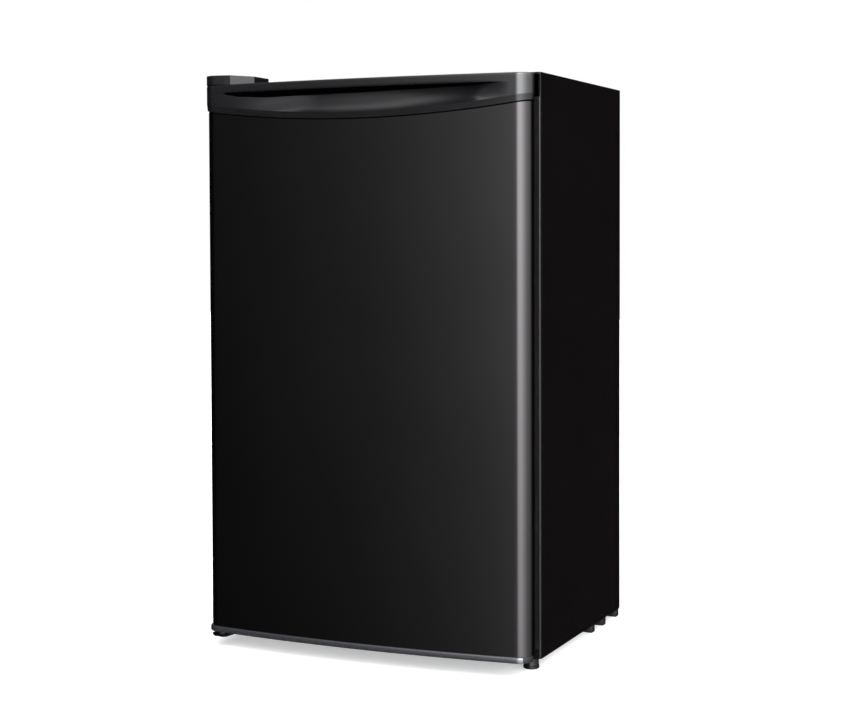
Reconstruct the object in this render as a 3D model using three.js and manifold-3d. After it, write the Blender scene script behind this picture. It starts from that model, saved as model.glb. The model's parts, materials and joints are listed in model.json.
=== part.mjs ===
// Compact refrigerator of about 3.3 cubic feet, as an assembly of its real pieces.
// Millimetres, +Z up. The front faces -Y and the door hangs on its left side, seen
// from the front. Inside this file Y = 0 is the front face of the cabinet; the
// exported group moves the model so that its origin is at the centre of its base.

import * as THREE from 'three';
import { mergeVertices } from 'three/addons/utils/BufferGeometryUtils.js';
import Module from 'manifold-3d';

// ---------------------------------------------------------------- driving dimensions

const gap = 0.3;                  // between pieces that touch

// Cabinet shell
const cabinetWidth = 512;
const cabinetDepth = 358;
const cabinetHeight = 820;
const footHeight = 20;            // floor to the underside of the cabinet
const steel = 1;                  // shell sheet
const rearFlange = 15;
const foldRadius = 3;
const railSteel = 1.5;
const railDepth = 60;
const sideWall = 42;              // insulated walls, outside to inside
const flangeInset = 8;             // from the folded edge's inner end to the compartment
const frontFlange = sideWall - flangeInset;   // folded edge that the magnet pulls on
const topWall = 45;
const bottomWall = 45;
const backWall = 45;
const linerSheet = 1.5;

// Compressor bay, open at the back
const bayDepth = 142;
const bayHeight = 185;
const bayFrontWall = 36;          // insulation in front of and over the bay
const bayTopWall = 40;
const basePlateSteel = 2;
const basePlateOverhang = 34;     // behind the back of the cabinet

// Door
const doorGapToFloorEdge = 4;     // door bottom above, and door top below, the cabinet's edges
const doorFlangeFront = 31;       // the door sheet ends this far in front of the cabinet
const doorEdgeRadius = 19.5;
const doorBow = 33.5;             // from the sheet's rear edge to the middle of the bowed front
const capOverhang = 2.7;          // of the top cap round the door sheet
const capWall = 3;
const capEndHeight = 37;          // height of the top cap at its ends
const capSag = 18.7;              // extra height of the cap in the middle
const creaseHeight = 9;           // of the crease over the cap's lower edge
const lipHeight = 12.5;           // bar over the handle pocket
const lipThickness = 5;
const pocketHalfLength = 218;
const pocketEndTaper = 70;
const pocketDepth = 24;
const scoopDepth = 15;            // of the scooped face at its top edge
const scoopSlit = 6.5;            // gap under the bar
const bottomCapHeight = 8.7;
const bottomCapOverhang = 0.4;
const trimThickness = 2.2;
const trimHeight = 8.3;
const linerInset = 4;             // of the door liner from the door's sides
const linerStep = 15;             // rear face of the door liner, in front of the cabinet
const plugDepth = 10;             // the raised middle of the liner reaches into the cabinet
const plugClearance = 8;
const gasketInset = 20;
const gasketWidth = 16;
const gasketPlay = 0.5;

// Hinges
const hingeInset = 20;            // axis from the cabinet's left side
const hingeSetback = 10;           // axis behind the foremost line of the door's corner
const hingePinRadius = 3;
const bushingWall = 2.5;
const bushingFlange = 2;
const bossWall = 2;
const topPinDepth = 20;
const bottomPinDepth = 16;
const runningPlay = 0.3;          // radial, round pins and shafts
const bracketSteel = 3;
const coverHeight = 10;
const coverEndDrop = 0.5;
const coverLength = 70;
const coverBack = 25;              // behind the cabinet's front
const coverWall = 1.6;
const coverForward = 13;          // front of the cover before the hinge axis
const screwRadius = 2.2;
const screwHeadRadius = 4.5;
const screwHeadHeight = 1.8;
const screwDepth = 12;

// Feet
const footRadius = 11.5;
const footHeadHeight = 15.7;
const studRadius = 4;
const studLength = 24;
const footInset = 24;             // from the cabinet's side and front
const hingeFootBack = 16;          // the left foot stands behind the lower hinge plate
const rearFootWidth = 14;
const rearPadLength = 14;
const rearPadPlaces = [265, 318, 384];

// Door racks: height of each base, and of its front wall
const rackHalfLength = 194;
const rackReach = 62;             // towards the back of the cabinet
const rackWall = 2;
const dikeWidth = 11;
const dikeReach = 55;
const racks = [
  { name: 'door_rack_lower', base: 95, height: 75 },
  { name: 'door_rack_middle', base: 330, height: 50 },
  { name: 'door_rack_upper', base: 545, height: 50 },
];

// Shelves
const ledgeWidth = 7;
const ledgeHeight = 6;
const ledgeFront = 70;
const firstShelfAbove = 205;      // the first shelf over the floor of the compartment
const shelfPitch = 100;
const glassThickness = 4;
const shelfDepth = 232;
const trimBarDepth = 12;
const trimBarHeight = 12;

// Chiller compartment, hung under the ceiling, and its tray
const chillerSheet = 1.5;
const chillerHeight = 92;
const chillerHang = 10;
const chillerFront = 106;
const chillerInset = 14;          // from the walls at the sides and back
const chillerFrameDepth = 9;
const chillerFrameBar = 10;
const flapThickness = 4;
const flapAxisBelowTop = 5;
const trayDrop = 12;              // under the chiller
const trayHeight = 28;
const trayWall = 2;
const trayLip = 3;

// Thermostat, on the right wall
const thermostatDrop = 145;       // top of its housing below the ceiling
const thermostatHeight = 60;
const thermostatLength = 110;
const thermostatDepth = 42;
const knobRadius = 17;
const knobLength = 14;
const shaftRadius = 3;

// Compressor and its circuit
const compressorWidth = 160;
const compressorDepth = 126;
const compressorHeight = 140;
const compressorX = 60;
const compressorBehindBay = 92;   // its centre behind the bay's front wall
const grommetRadius = 10;
const grommetHeight = 14;
const pipeRadius = 3;
const drierRadius = 8;
const drierLength = 90;
const condenserTubeRadius = 2.4;
const condenserStandOff = 14;     // tube's centre behind the cabinet
const condenserHalfWidth = 200;
const condenserPitch = 64;
const condenserBendRadius = 32;
const wireRadius = 1;
const wireCount = 11;
const strapSize = 3;

// ---------------------------------------------------------------- derived places

const halfWidth = cabinetWidth / 2;
const cabinetBottom = footHeight;
const cabinetTop = footHeight + cabinetHeight;
const innerHalf = halfWidth - sideWall;
const innerFloor = cabinetBottom + bottomWall;
const innerCeiling = cabinetTop - topWall;
const innerBack = cabinetDepth - backWall;
const bayFront = cabinetDepth - bayDepth;
const bayTop = cabinetBottom + bayHeight;
const humpFront = bayFront - bayFrontWall;
const humpTop = bayTop + bayTopWall;
const deckBottom = cabinetBottom + railSteel + gap;

const doorBottom = cabinetBottom + doorGapToFloorEdge;
const doorTop = cabinetTop - doorGapToFloorEdge;
const doorRear = -doorFlangeFront;
const cornerX = halfWidth - doorEdgeRadius;
const bowRadius = (cornerX ** 2 + doorBow ** 2 - doorEdgeRadius ** 2)
  / (2 * (doorBow - doorEdgeRadius));
const bowCentre = doorRear - doorBow + bowRadius;
const tangentAngle = Math.atan2(doorRear - bowCentre, cornerX);
const capEnd = doorTop - capEndHeight;
const capHalf = halfWidth + capOverhang;
const capArcRadius = (capHalf ** 2 + capSag ** 2) / (2 * capSag);
const capArcCentre = capEnd - capSag + capArcRadius;
const lipBottom = doorTop - lipHeight;

const hingeX = -(halfWidth - hingeInset);
const hingeY = doorRear - doorEdgeRadius + hingeSetback;
const pinHole = hingePinRadius + runningPlay;
const bushingRadius = pinHole + bushingWall;
const flangeRadius = bushingRadius + bushingFlange;
const bottomCapTop = doorBottom + bottomCapHeight;

const shelfLevel = (index) => innerFloor + firstShelfAbove + index * shelfPitch;
const chillerTop = innerCeiling - chillerHang;
const chillerBottom = chillerTop - chillerHeight;
const chillerHalf = innerHalf - chillerInset;
const chillerBack = innerBack - chillerInset;
const trayTop = chillerBottom - trayDrop;
const thermostatTop = innerCeiling - thermostatDrop;
const basePlateTop = cabinetBottom + basePlateSteel;
const compressorY = bayFront + compressorBehindBay;
const compressorFeet = basePlateTop + gap + grommetHeight;

// ---------------------------------------------------------------- solids

const wasm = await Module();
wasm.setup();

function signedVolume(places, corners) {
  let sum = 0;
  const a = new THREE.Vector3();
  const b = new THREE.Vector3();
  const c = new THREE.Vector3();
  for (let i = 0; i < corners.length; i += 3) {
    a.fromArray(places, corners[i] * 3);
    b.fromArray(places, corners[i + 1] * 3);
    c.fromArray(places, corners[i + 2] * 3);
    sum += a.dot(b.cross(c)) / 6;
  }
  return sum;
}

// A closed three.js geometry as a solid, with its faces turned to point out.
function solid(geometry) {
  const bare = geometry.clone();
  bare.deleteAttribute('normal');
  bare.deleteAttribute('uv');
  const merged = mergeVertices(bare, 1e-4);
  const vertProperties = new Float32Array(merged.attributes.position.array);
  const triVerts = new Uint32Array(merged.index.array);
  if (signedVolume(vertProperties, triVerts) < 0) triVerts.reverse();
  return new wasm.Manifold(new wasm.Mesh({ numProp: 3, vertProperties, triVerts }));
}

function geometryOf(shape) {
  const mesh = shape.getMesh();
  const geometry = new THREE.BufferGeometry();
  geometry.setAttribute('position', new THREE.BufferAttribute(mesh.vertProperties, 3));
  geometry.setIndex(new THREE.BufferAttribute(mesh.triVerts, 1));
  geometry.computeVertexNormals();
  return geometry;
}

const join = (first, ...others) => others.reduce((sum, other) => sum.add(other), first);
const cut = (first, ...tools) => tools.reduce((rest, tool) => rest.subtract(tool), first);

function box(x0, x1, y0, y1, z0, z1) {
  const geometry = new THREE.BoxGeometry(x1 - x0, y1 - y0, z1 - z0);
  return solid(geometry.translate((x0 + x1) / 2, (y0 + y1) / 2, (z0 + z1) / 2));
}

const axisX = new THREE.Vector3(1, 0, 0);
const axisY = new THREE.Vector3(0, 1, 0);
const axisZ = new THREE.Vector3(0, 0, 1);

// An outline of [u, v] points, extruded by depth and laid on the given axes.
function prism(points, depth, uAxis, vAxis, along) {
  const outline = new THREE.Shape(points.map(([u, v]) => new THREE.Vector2(u, v)));
  const geometry = new THREE.ExtrudeGeometry(outline, { depth, bevelEnabled: false });
  return geometry.applyMatrix4(new THREE.Matrix4().makeBasis(uAxis, vAxis, along));
}

const prismX = (points, x0, x1) => (
  solid(prism(points, x1 - x0, axisY, axisZ, axisX).translate(x0, 0, 0)));
const prismY = (points, y0, y1) => (
  solid(prism(points, y1 - y0, axisX, axisZ, axisY.clone().negate()).translate(0, y1, 0)));
const prismZ = (points, z0, z1) => (
  solid(prism(points, z1 - z0, axisX, axisY, axisZ).translate(0, 0, z0)));

function rodZ(x, y, radius, z0, z1, sides = 24) {
  const geometry = new THREE.CylinderGeometry(radius, radius, z1 - z0, sides);
  return solid(geometry.rotateX(Math.PI / 2).translate(x, y, (z0 + z1) / 2));
}

function rodX(x0, x1, y, z, radius, sides = 24) {
  const geometry = new THREE.CylinderGeometry(radius, radius, x1 - x0, sides);
  return solid(geometry.rotateZ(-Math.PI / 2).translate((x0 + x1) / 2, y, z));
}

function rodY(x, y0, y1, z, radius, sides = 24) {
  const geometry = new THREE.CylinderGeometry(radius, radius, y1 - y0, sides);
  return solid(geometry.translate(x, (y0 + y1) / 2, z));
}

// [radius, height] points turned about the vertical line through x, y.
function turned(x, y, points, sides = 32) {
  const outline = points.map(([radius, z]) => new THREE.Vector2(radius, z));
  return solid(new THREE.LatheGeometry(outline, sides).rotateX(Math.PI / 2).translate(x, y, 0));
}

function arcPoints(x, y, radius, start, end, steps) {
  return Array.from({ length: steps + 1 }, (_, i) => {
    const angle = start + (end - start) * i / steps;
    return [x + radius * Math.cos(angle), y + radius * Math.sin(angle)];
  });
}

// A path through points, with one section of the swept tube at each.
class Route extends THREE.Curve {
  constructor(points) {
    super();
    this.points = points;
  }

  getPoint(t) {
    const last = this.points.length - 1;
    const place = Math.min(Math.max(t, 0), 1) * last;
    const step = Math.min(Math.floor(place), last - 1);
    return this.points[step].clone().lerp(this.points[step + 1], place - step);
  }

  getPointAt(u) {
    return this.getPoint(u);
  }

  getTangentAt(u) {
    return this.getTangent(u);
  }
}

// The corners of a pipe run, with each inner corner bent to a radius.
function bent(corners, radius, steps = 5) {
  const places = corners.map(([x, y, z]) => new THREE.Vector3(x, y, z));
  const points = [places[0]];
  for (let i = 1; i < places.length - 1; i += 1) {
    const back = places[i - 1].clone().sub(places[i]).normalize();
    const ahead = places[i + 1].clone().sub(places[i]).normalize();
    const half = back.angleTo(ahead) / 2;
    const reach = radius / Math.tan(half);
    const middle = back.clone().add(ahead).normalize().multiplyScalar(radius / Math.sin(half));
    const centre = places[i].clone().add(middle);
    const from = back.multiplyScalar(reach).add(places[i]).sub(centre);
    const to = ahead.multiplyScalar(reach).add(places[i]).sub(centre);
    const turn = from.angleTo(to);
    for (let k = 0; k <= steps; k += 1) {
      const t = k / steps;
      const a = Math.sin((1 - t) * turn) / Math.sin(turn);
      const b = Math.sin(t * turn) / Math.sin(turn);
      points.push(centre.clone().addScaledVector(from, a).addScaledVector(to, b));
    }
  }
  points.push(places[places.length - 1]);
  return points;
}

function tube(points, radius, sides = 8) {
  const section = new THREE.Shape(
    arcPoints(0, 0, radius, 0, 2 * Math.PI * (1 - 1 / sides), sides - 1)
      .map(([x, y]) => new THREE.Vector2(x, y)));
  const extrudePath = new Route(points);
  return solid(new THREE.ExtrudeGeometry(section, { steps: points.length - 1, extrudePath }));
}

// A closed solid through sections that share a number of [y, z] points, each at its x.
function loft(sections) {
  const size = sections[0].outline.length;
  const places = sections.flatMap(({ x, outline }) => outline.flatMap(([y, z]) => [x, y, z]));
  const corners = [];
  for (let i = 0; i < sections.length - 1; i += 1) {
    for (let k = 0; k < size; k += 1) {
      const a = i * size + k;
      const b = i * size + (k + 1) % size;
      corners.push(a, a + size, b, b, a + size, b + size);
    }
  }
  const flat = (section) => section.outline.map(([y, z]) => new THREE.Vector2(y, z));
  for (const [a, b, c] of THREE.ShapeUtils.triangulateShape(flat(sections[0]), [])) {
    corners.push(a, b, c);
  }
  const last = (sections.length - 1) * size;
  for (const [a, b, c] of THREE.ShapeUtils.triangulateShape(flat(sections.at(-1)), [])) {
    corners.push(last + a, last + c, last + b);
  }
  const geometry = new THREE.BufferGeometry();
  geometry.setAttribute('position', new THREE.Float32BufferAttribute(places, 3));
  geometry.setIndex(corners);
  return solid(geometry);
}

// ---------------------------------------------------------------- materials and group

const fridge = new THREE.Group();
const material = (color, roughness, metalness) => (
  new THREE.MeshStandardMaterial({ color, roughness, metalness }));

const paint = {
  sideBlack: () => material(0x141214, 0.35, 0.1),
  doorBlack: () => material(0x2c2b2a, 0.35, 0.6),
  capBlack: () => material(0x232323, 0.4, 0.0),
  plasticBlack: () => material(0x101010, 0.5, 0.0),
  trim: () => material(0x6b7078, 0.3, 0.8),
  rubber: () => material(0x181818, 0.8, 0.0),
  white: () => material(0xe8e9ea, 0.4, 0.0),
  clear: () => material(0xdfe8ea, 0.15, 0.0),
  foam: () => material(0xd8c79a, 0.95, 0.0),
  steel: () => material(0x9a9c9e, 0.4, 0.9),
  aluminium: () => material(0xb9bcc0, 0.4, 0.9),
  copper: () => material(0xb0693e, 0.35, 0.9),
};

function add(name, shape, look) {
  const mesh = new THREE.Mesh(geometryOf(shape), look());
  mesh.name = name;
  fridge.add(mesh);
}

// ---------------------------------------------------------------- shared outlines

// The door in plan: a bowed front between two round corners, grown by offset all round.
function doorOutline(offset, rear = doorRear) {
  const radius = doorEdgeRadius + offset;
  const edge = Math.asin((rear - doorRear) / radius);
  return [
    ...arcPoints(-cornerX, doorRear, radius, -Math.PI - edge, -Math.PI - tangentAngle, 7),
    ...arcPoints(0, bowCentre, bowRadius + offset, -Math.PI - tangentAngle, tangentAngle, 22)
      .slice(1, -1),
    ...arcPoints(cornerX, doorRear, radius, tangentAngle, edge, 7),
  ];
}

const doorBlock = (offset, z0, z1, rear = doorRear) => prismZ(doorOutline(offset, rear), z0, z1);

// Everything under the top cap's curved lower edge, lowered by drop.
function underCap(drop) {
  const reach = Math.asin((capHalf + 20) / capArcRadius);
  const arc = arcPoints(0, capArcCentre, capArcRadius + drop,
    -Math.PI / 2 - reach, -Math.PI / 2 + reach, 24);
  return prismY([[-capHalf - 20, -10], [capHalf + 20, -10], ...arc.reverse()],
    doorRear - doorBow - 30, 10);
}

const frontY = (x, offset) => bowCentre - Math.sqrt((bowRadius + offset) ** 2 - x * x);
const capEdge = (x) => capArcCentre - Math.sqrt(capArcRadius ** 2 - x * x);

// The handle pocket with its walls grown by wall: a scooped face that leans back up to a
// slit under the bar, and finger room behind the bar.
function pocket(wall) {
  const half = pocketHalfLength + wall;
  const stations = 18;
  const sections = Array.from({ length: stations + 1 }, (_, i) => {
    const x = -half + 2 * half * i / stations;
    const front = frontY(x, capOverhang);
    const ends = Math.min(1, 0.35 + (half - Math.abs(x)) / pocketEndTaper);
    const crease = capEdge(x) + creaseHeight - wall;
    const scoopTop = lipBottom - scoopSlit - wall;
    const scoop = arcPoints(0, 0, 1, 0, Math.PI / 2, 4).map(([c, s]) => [
      front + wall + (scoopDepth * ends) * s,
      crease + (scoopTop - crease) * (1 - c) ** 0.8,
    ]);
    const back = front + wall + pocketDepth * ends;
    const roof = lipBottom + lipThickness + wall;
    const behindLip = front + lipThickness - wall;
    const outside = front - 10;
    return {
      x,
      outline: [[outside, crease], ...scoop, [back, scoopTop], [back, roof],
        [behindLip, roof], [behindLip, lipBottom + wall], [outside, lipBottom + wall]],
    };
  });
  return loft(sections);
}

// ---------------------------------------------------------------- cabinet

const footPlaces = [
  [-halfWidth + footInset, footInset + hingeFootBack],
  [halfWidth - footInset, footInset],
];
const topScrews = [0, 1].map((i) => [-halfWidth + 33 + i * 20, 12]);
const bottomScrews = [0, 1].map((i) => [-halfWidth + 44, 10 + i * 20]);
const pocketRoom = 2;             // round a stud or screw inside the foam

function sidePanel(side) {
  const out = halfWidth;
  const outline = [
    [out - frontFlange, 0],
    ...arcPoints(out - foldRadius, foldRadius, foldRadius, -Math.PI / 2, 0, 5),
    [out, cabinetDepth],
    [out - rearFlange, cabinetDepth],
    [out - rearFlange, cabinetDepth - steel],
    [out - steel, cabinetDepth - steel],
    ...arcPoints(out - foldRadius, foldRadius, foldRadius - steel, 0, -Math.PI / 2, 5),
    [out - frontFlange, steel],
  ].map(([x, y]) => [side * x, y]);
  return prismZ(side < 0 ? outline.reverse() : outline, cabinetBottom, cabinetTop);
}

function topPanel() {
  const half = halfWidth - steel - gap;
  const flangeHalf = halfWidth - frontFlange - gap;
  const plate = box(-half, half, foldRadius, cabinetDepth - steel - gap,
    cabinetTop - steel, cabinetTop);
  const flange = prismX([
    [0, cabinetTop - frontFlange],
    [steel, cabinetTop - frontFlange],
    ...arcPoints(foldRadius, cabinetTop - foldRadius, foldRadius - steel,
      Math.PI, Math.PI / 2, 5),
    [foldRadius + 1, cabinetTop - steel],
    [foldRadius + 1, cabinetTop],
    ...arcPoints(foldRadius, cabinetTop - foldRadius, foldRadius, Math.PI / 2, Math.PI, 5),
  ].reverse(), -flangeHalf, flangeHalf);
  const holes = topScrews.map(([x, y]) => rodZ(x, y, screwRadius + gap, cabinetTop - 5,
    cabinetTop + 5));
  return cut(join(plate, flange), ...holes);
}

function frontRail() {
  const half = halfWidth - foldRadius;
  const web = steel + gap;
  const rail = prismX([
    [web, cabinetBottom],
    [railDepth, cabinetBottom],
    [railDepth, cabinetBottom + railSteel],
    [web + railSteel, cabinetBottom + railSteel],
    [web + railSteel, cabinetBottom + frontFlange],
    [web, cabinetBottom + frontFlange],
  ], -half, half);
  return cut(rail, ...underHoles(cabinetBottom - 5, cabinetBottom + 5));
}

// Clearance holes for the studs of the front feet and for the lower hinge's screws.
function underHoles(z0, z1, room = gap) {
  return [
    ...footPlaces.map(([x, y]) => rodZ(x, y, studRadius + room, z0, z1)),
    ...bottomScrews.map(([x, y]) => rodZ(x, y, screwRadius + room, z0, z1)),
  ];
}

const suctionPlace = [-halfWidth + 90, cabinetDepth - 60];

function baseDeck() {
  const half = halfWidth - steel - gap;
  const rear = cabinetDepth - 2 * steel - 2 * gap;
  const front = steel + railSteel + 2 * gap;
  const deck = prismX([
    [front, deckBottom],
    [bayFront, deckBottom],
    [bayFront, bayTop],
    [rear, bayTop],
    [rear, bayTop + steel],
    [bayFront - steel, bayTop + steel],
    [bayFront - steel, deckBottom + steel],
    [front, deckBottom + steel],
  ], -half, half);
  const pipeHole = rodZ(...suctionPlace, pipeRadius + gap, bayTop - 5, bayTop + 5);
  return cut(deck, ...underHoles(deckBottom - 2, deckBottom + 5), pipeHole);
}

function backPanel() {
  const half = halfWidth - steel - gap;
  const rear = cabinetDepth - steel - gap;
  return box(-half, half, rear - steel, rear, bayTop + steel + gap, cabinetTop - steel - gap);
}

// The outside of the inner liner, grown by grow.
function linerBlock(grow) {
  const t = linerSheet + grow;
  const outer = box(-innerHalf - t, innerHalf + t, -grow, innerBack + t,
    innerFloor - t, innerCeiling + t);
  const underHump = box(-innerHalf - t - 5, innerHalf + t + 5, humpFront + t, innerBack + t + 5,
    innerFloor - t - 5, humpTop - t);
  return cut(outer, underHump);
}

const ledgeBack = innerBack - 10;
const trayLedgeTop = trayTop - trayLip;

function innerLiner() {
  const cavity = box(-innerHalf, innerHalf, -5, innerBack, innerFloor, innerCeiling);
  const hump = box(-innerHalf - 5, innerHalf + 5, humpFront, innerBack + 5,
    innerFloor - 5, humpTop);
  const flangeHalf = halfWidth - frontFlange - gap;
  const flange = cut(
    box(-flangeHalf, flangeHalf, 0, linerSheet,
      cabinetBottom + frontFlange + gap, cabinetTop - frontFlange - gap),
    box(-innerHalf, innerHalf, -5, 5, innerFloor, innerCeiling));
  const levels = [];
  for (let i = 0; shelfLevel(i) < trayLedgeTop - 80; i += 1) levels.push(shelfLevel(i));
  levels.push(trayLedgeTop);
  const ledges = levels.flatMap((level) => [-1, 1].map((side) => {
    const inside = side * (innerHalf - ledgeWidth);
    const outside = side * (innerHalf + linerSheet / 2);
    return box(Math.min(inside, outside), Math.max(inside, outside), ledgeFront, ledgeBack,
      level - ledgeHeight - gap, level - gap);
  }));
  return join(cut(linerBlock(0), cut(cavity, hump)), flange, ...ledges);
}

function cabinetFoam() {
  const half = halfWidth - steel - gap;
  const front = steel + railSteel + 2 * gap;
  const rear = cabinetDepth - 2 * steel - 2 * gap;
  const block = box(-half, half, front, rear, deckBottom + steel + gap,
    cabinetTop - steel - gap);
  const bay = box(-half - 5, half + 5, bayFront - steel - gap, rear + 5,
    cabinetBottom - 5, bayTop + steel + gap);
  const opening = box(-innerHalf - linerSheet - gap, innerHalf + linerSheet + gap, -5, front + 1,
    innerFloor - linerSheet - gap, innerCeiling + linerSheet + gap);
  const upward = cabinetBottom + studLength + 6;
  const suctionPocket = rodZ(...suctionPlace, pipeRadius + pocketRoom, bayTop - 5, bayTop + 28);
  const topPockets = topScrews.map(([x, y]) => (
    rodZ(x, y, screwRadius + pocketRoom, cabinetTop - screwDepth - 6, cabinetTop + 5)));
  return cut(block, bay, opening, linerBlock(gap), ...underHoles(cabinetBottom, upward, pocketRoom),
    suctionPocket, ...topPockets);
}

add('side_panel_left', sidePanel(-1), paint.sideBlack);
add('side_panel_right', sidePanel(1), paint.sideBlack);
add('top_panel', topPanel(), paint.sideBlack);
add('back_panel', backPanel(), paint.steel);
add('base_deck', baseDeck(), paint.steel);
add('front_base_rail', frontRail(), paint.sideBlack);
add('inner_liner', innerLiner(), paint.white);
add('insulation_foam', cabinetFoam(), paint.foam);

// ---------------------------------------------------------------- feet

function frontFoot([x, y]) {
  const head = turned(x, y, [[0, 0], [footRadius - 1.5, 0], [footRadius, 1.5],
    [footRadius, footHeadHeight - 1], [footRadius - 1, footHeadHeight], [0, footHeadHeight]]);
  return join(head, rodZ(x, y, studRadius, footHeadHeight - 1, cabinetBottom + studLength));
}

function rearFoot(side) {
  const top = cabinetBottom - gap;
  const web = top - 7;
  const half = rearPadLength / 2;
  const first = rearPadPlaces[0] - half;
  const last = rearPadPlaces.at(-1) + half;
  const middle = side * (halfWidth - 20);
  const pads = rearPadPlaces.map((y) => box(middle - rearFootWidth / 2,
    middle + rearFootWidth / 2, y - half, y + half, 0, web + 1));
  return join(box(middle - rearFootWidth / 2, middle + rearFootWidth / 2, first, last, web, top),
    ...pads);
}

add('front_foot_left', frontFoot(footPlaces[0]), paint.plasticBlack);
add('front_foot_right', frontFoot(footPlaces[1]), paint.plasticBlack);
add('rear_foot_left', rearFoot(-1), paint.plasticBlack);
add('rear_foot_right', rearFoot(1), paint.plasticBlack);

// ---------------------------------------------------------------- hinges

const bracketTop = cabinetTop + gap + bracketSteel;
const lowerPlateTop = cabinetBottom - gap;
const lowerPlateBottom = lowerPlateTop - bracketSteel;

function screw([x, y], seat, up) {
  const headEnd = seat + up * (gap + screwHeadHeight);
  const headStart = seat + up * gap;
  const tip = seat - up * (screwDepth + bracketSteel);
  return join(
    rodZ(x, y, screwHeadRadius, Math.min(headStart, headEnd), Math.max(headStart, headEnd)),
    rodZ(x, y, screwRadius, Math.min(tip, headStart + up), Math.max(tip, headStart + up), 16));
}

function topBracket() {
  const z0 = cabinetTop + gap;
  const reach = topScrews[1][0] + 8;
  const plate = prismZ([
    [-halfWidth + 4, coverBack - 4],
    [-halfWidth + 4, hingeY],
    [-halfWidth + 13, hingeY - 9],
    [hingeX + 10, hingeY - 9],
    [hingeX + 16, -6],
    [reach, 2],
    [reach, coverBack - 4],
  ], z0, bracketTop);
  const holes = topScrews.map(([x, y]) => rodZ(x, y, screwRadius + gap, z0 - 5, bracketTop + 5));
  return cut(plate, rodZ(hingeX, hingeY, pinHole, z0 - 5, bracketTop + 5), ...holes);
}

function bottomBracket() {
  const plate = prismZ([
    [-halfWidth + 2, railDepth - 3],
    [-halfWidth + 2, hingeY],
    [-halfWidth + 11, hingeY - 9],
    [hingeX + 10, hingeY - 9],
    [hingeX + 16, -6],
    [bottomScrews[0][0] + 10, 0],
    [bottomScrews[0][0] + 10, railDepth - 3],
  ], lowerPlateBottom, lowerPlateTop);
  return cut(plate, rodZ(hingeX, hingeY, pinHole, lowerPlateBottom - 5, lowerPlateTop + 5),
    ...underHoles(lowerPlateBottom - 5, lowerPlateTop + 5));
}

function coverOutline(inset) {
  const left = -halfWidth - capOverhang + inset;
  const right = -halfWidth - capOverhang + coverLength - inset;
  const front = hingeY - coverForward + inset;
  const middle = -18 + inset;
  const corner = doorEdgeRadius + capOverhang - inset;
  return [
    [left, coverBack - inset],
    ...arcPoints(left + corner, front + corner, corner, Math.PI, Math.PI * 1.5, 7),
    [right - 22, front + 3],
    [right, middle],
    [right, coverBack - inset],
  ];
}

// A shallow lid over the upper bracket; its front part hangs down over the door's cap.
function hingeCover() {
  const top = cabinetTop + coverHeight;
  const low = doorTop + 0.6;
  const left = -halfWidth - capOverhang;
  const slope = (drop) => prismY([
    [left - 5, top - drop],
    [left + coverLength * 0.4, top - drop],
    [left + coverLength + 5, top - drop - coverEndDrop],
    [left + coverLength + 5, top + 20],
    [left - 5, top + 20],
  ], -80, 60);
  const outer = cut(prismZ(coverOutline(0), low, top + 1), slope(0));
  const inner = cut(prismZ(coverOutline(coverWall), low - 5, top + 1), slope(coverWall));
  const overCabinet = box(left - 5, left + coverLength + 5, -gap, 60, low - 5, cabinetTop + gap);
  return cut(outer, inner, overCabinet);
}

add('top_hinge_bracket', topBracket(), paint.steel);
add('top_hinge_pin', join(
  rodZ(hingeX, hingeY, hingePinRadius, doorTop - topPinDepth, bracketTop + gap + 1),
  rodZ(hingeX, hingeY, hingePinRadius + 2, bracketTop + gap, bracketTop + gap + 1.5)), paint.steel);
add('top_hinge_screw_front', screw(topScrews[0], bracketTop, 1), paint.steel);
add('top_hinge_screw_rear', screw(topScrews[1], bracketTop, 1), paint.steel);
add('top_hinge_cover', hingeCover(), paint.capBlack);
add('bottom_hinge_bracket', bottomBracket(), paint.steel);
add('bottom_hinge_pin', join(
  rodZ(hingeX, hingeY, hingePinRadius, lowerPlateBottom - gap - 0.5, doorBottom + bottomPinDepth),
  rodZ(hingeX, hingeY, hingePinRadius + 2, lowerPlateBottom - gap - 1.5,
    lowerPlateBottom - gap)), paint.steel);
add('bottom_hinge_screw_front', screw(bottomScrews[0], lowerPlateBottom, -1), paint.steel);
add('bottom_hinge_screw_rear', screw(bottomScrews[1], lowerPlateBottom, -1), paint.steel);

// ---------------------------------------------------------------- door

const linerHalf = halfWidth - linerInset;
const linerLow = doorBottom + 6;
const linerHigh = doorTop - 6;
const plugHalf = innerHalf - plugClearance;
const plugLow = innerFloor + plugClearance;
const plugHigh = innerCeiling - plugClearance;
const bossRadius = bushingRadius + gap + bossWall;
const topBossBottom = doorTop - topPinDepth - 6;
const bottomBossTop = doorBottom + bottomPinDepth + 5;
const cavityTop = topBossBottom - capWall;

function doorSkin() {
  const outer = doorBlock(0, bottomCapTop + gap, doorTop);
  const inner = doorBlock(-steel, bottomCapTop - 5, doorTop + 5, doorRear - steel);
  const rearHalf = halfWidth - 10;
  const opening = box(-rearHalf, rearHalf, doorRear - steel - 1, doorRear + 5,
    bottomCapTop - 5, doorTop + 5);
  return cut(outer, inner, opening).intersect(underCap(gap));
}

// The insulation's share of the top cap: under the pocket, behind the cap's front wall.
const capFilling = (wall, drop = 0) => cut(
  doorBlock(capOverhang - wall, bottomCapTop, cavityTop - (wall - capWall), doorRear + 1)
    .subtract(underCap(drop)), pocket(wall));

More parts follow.
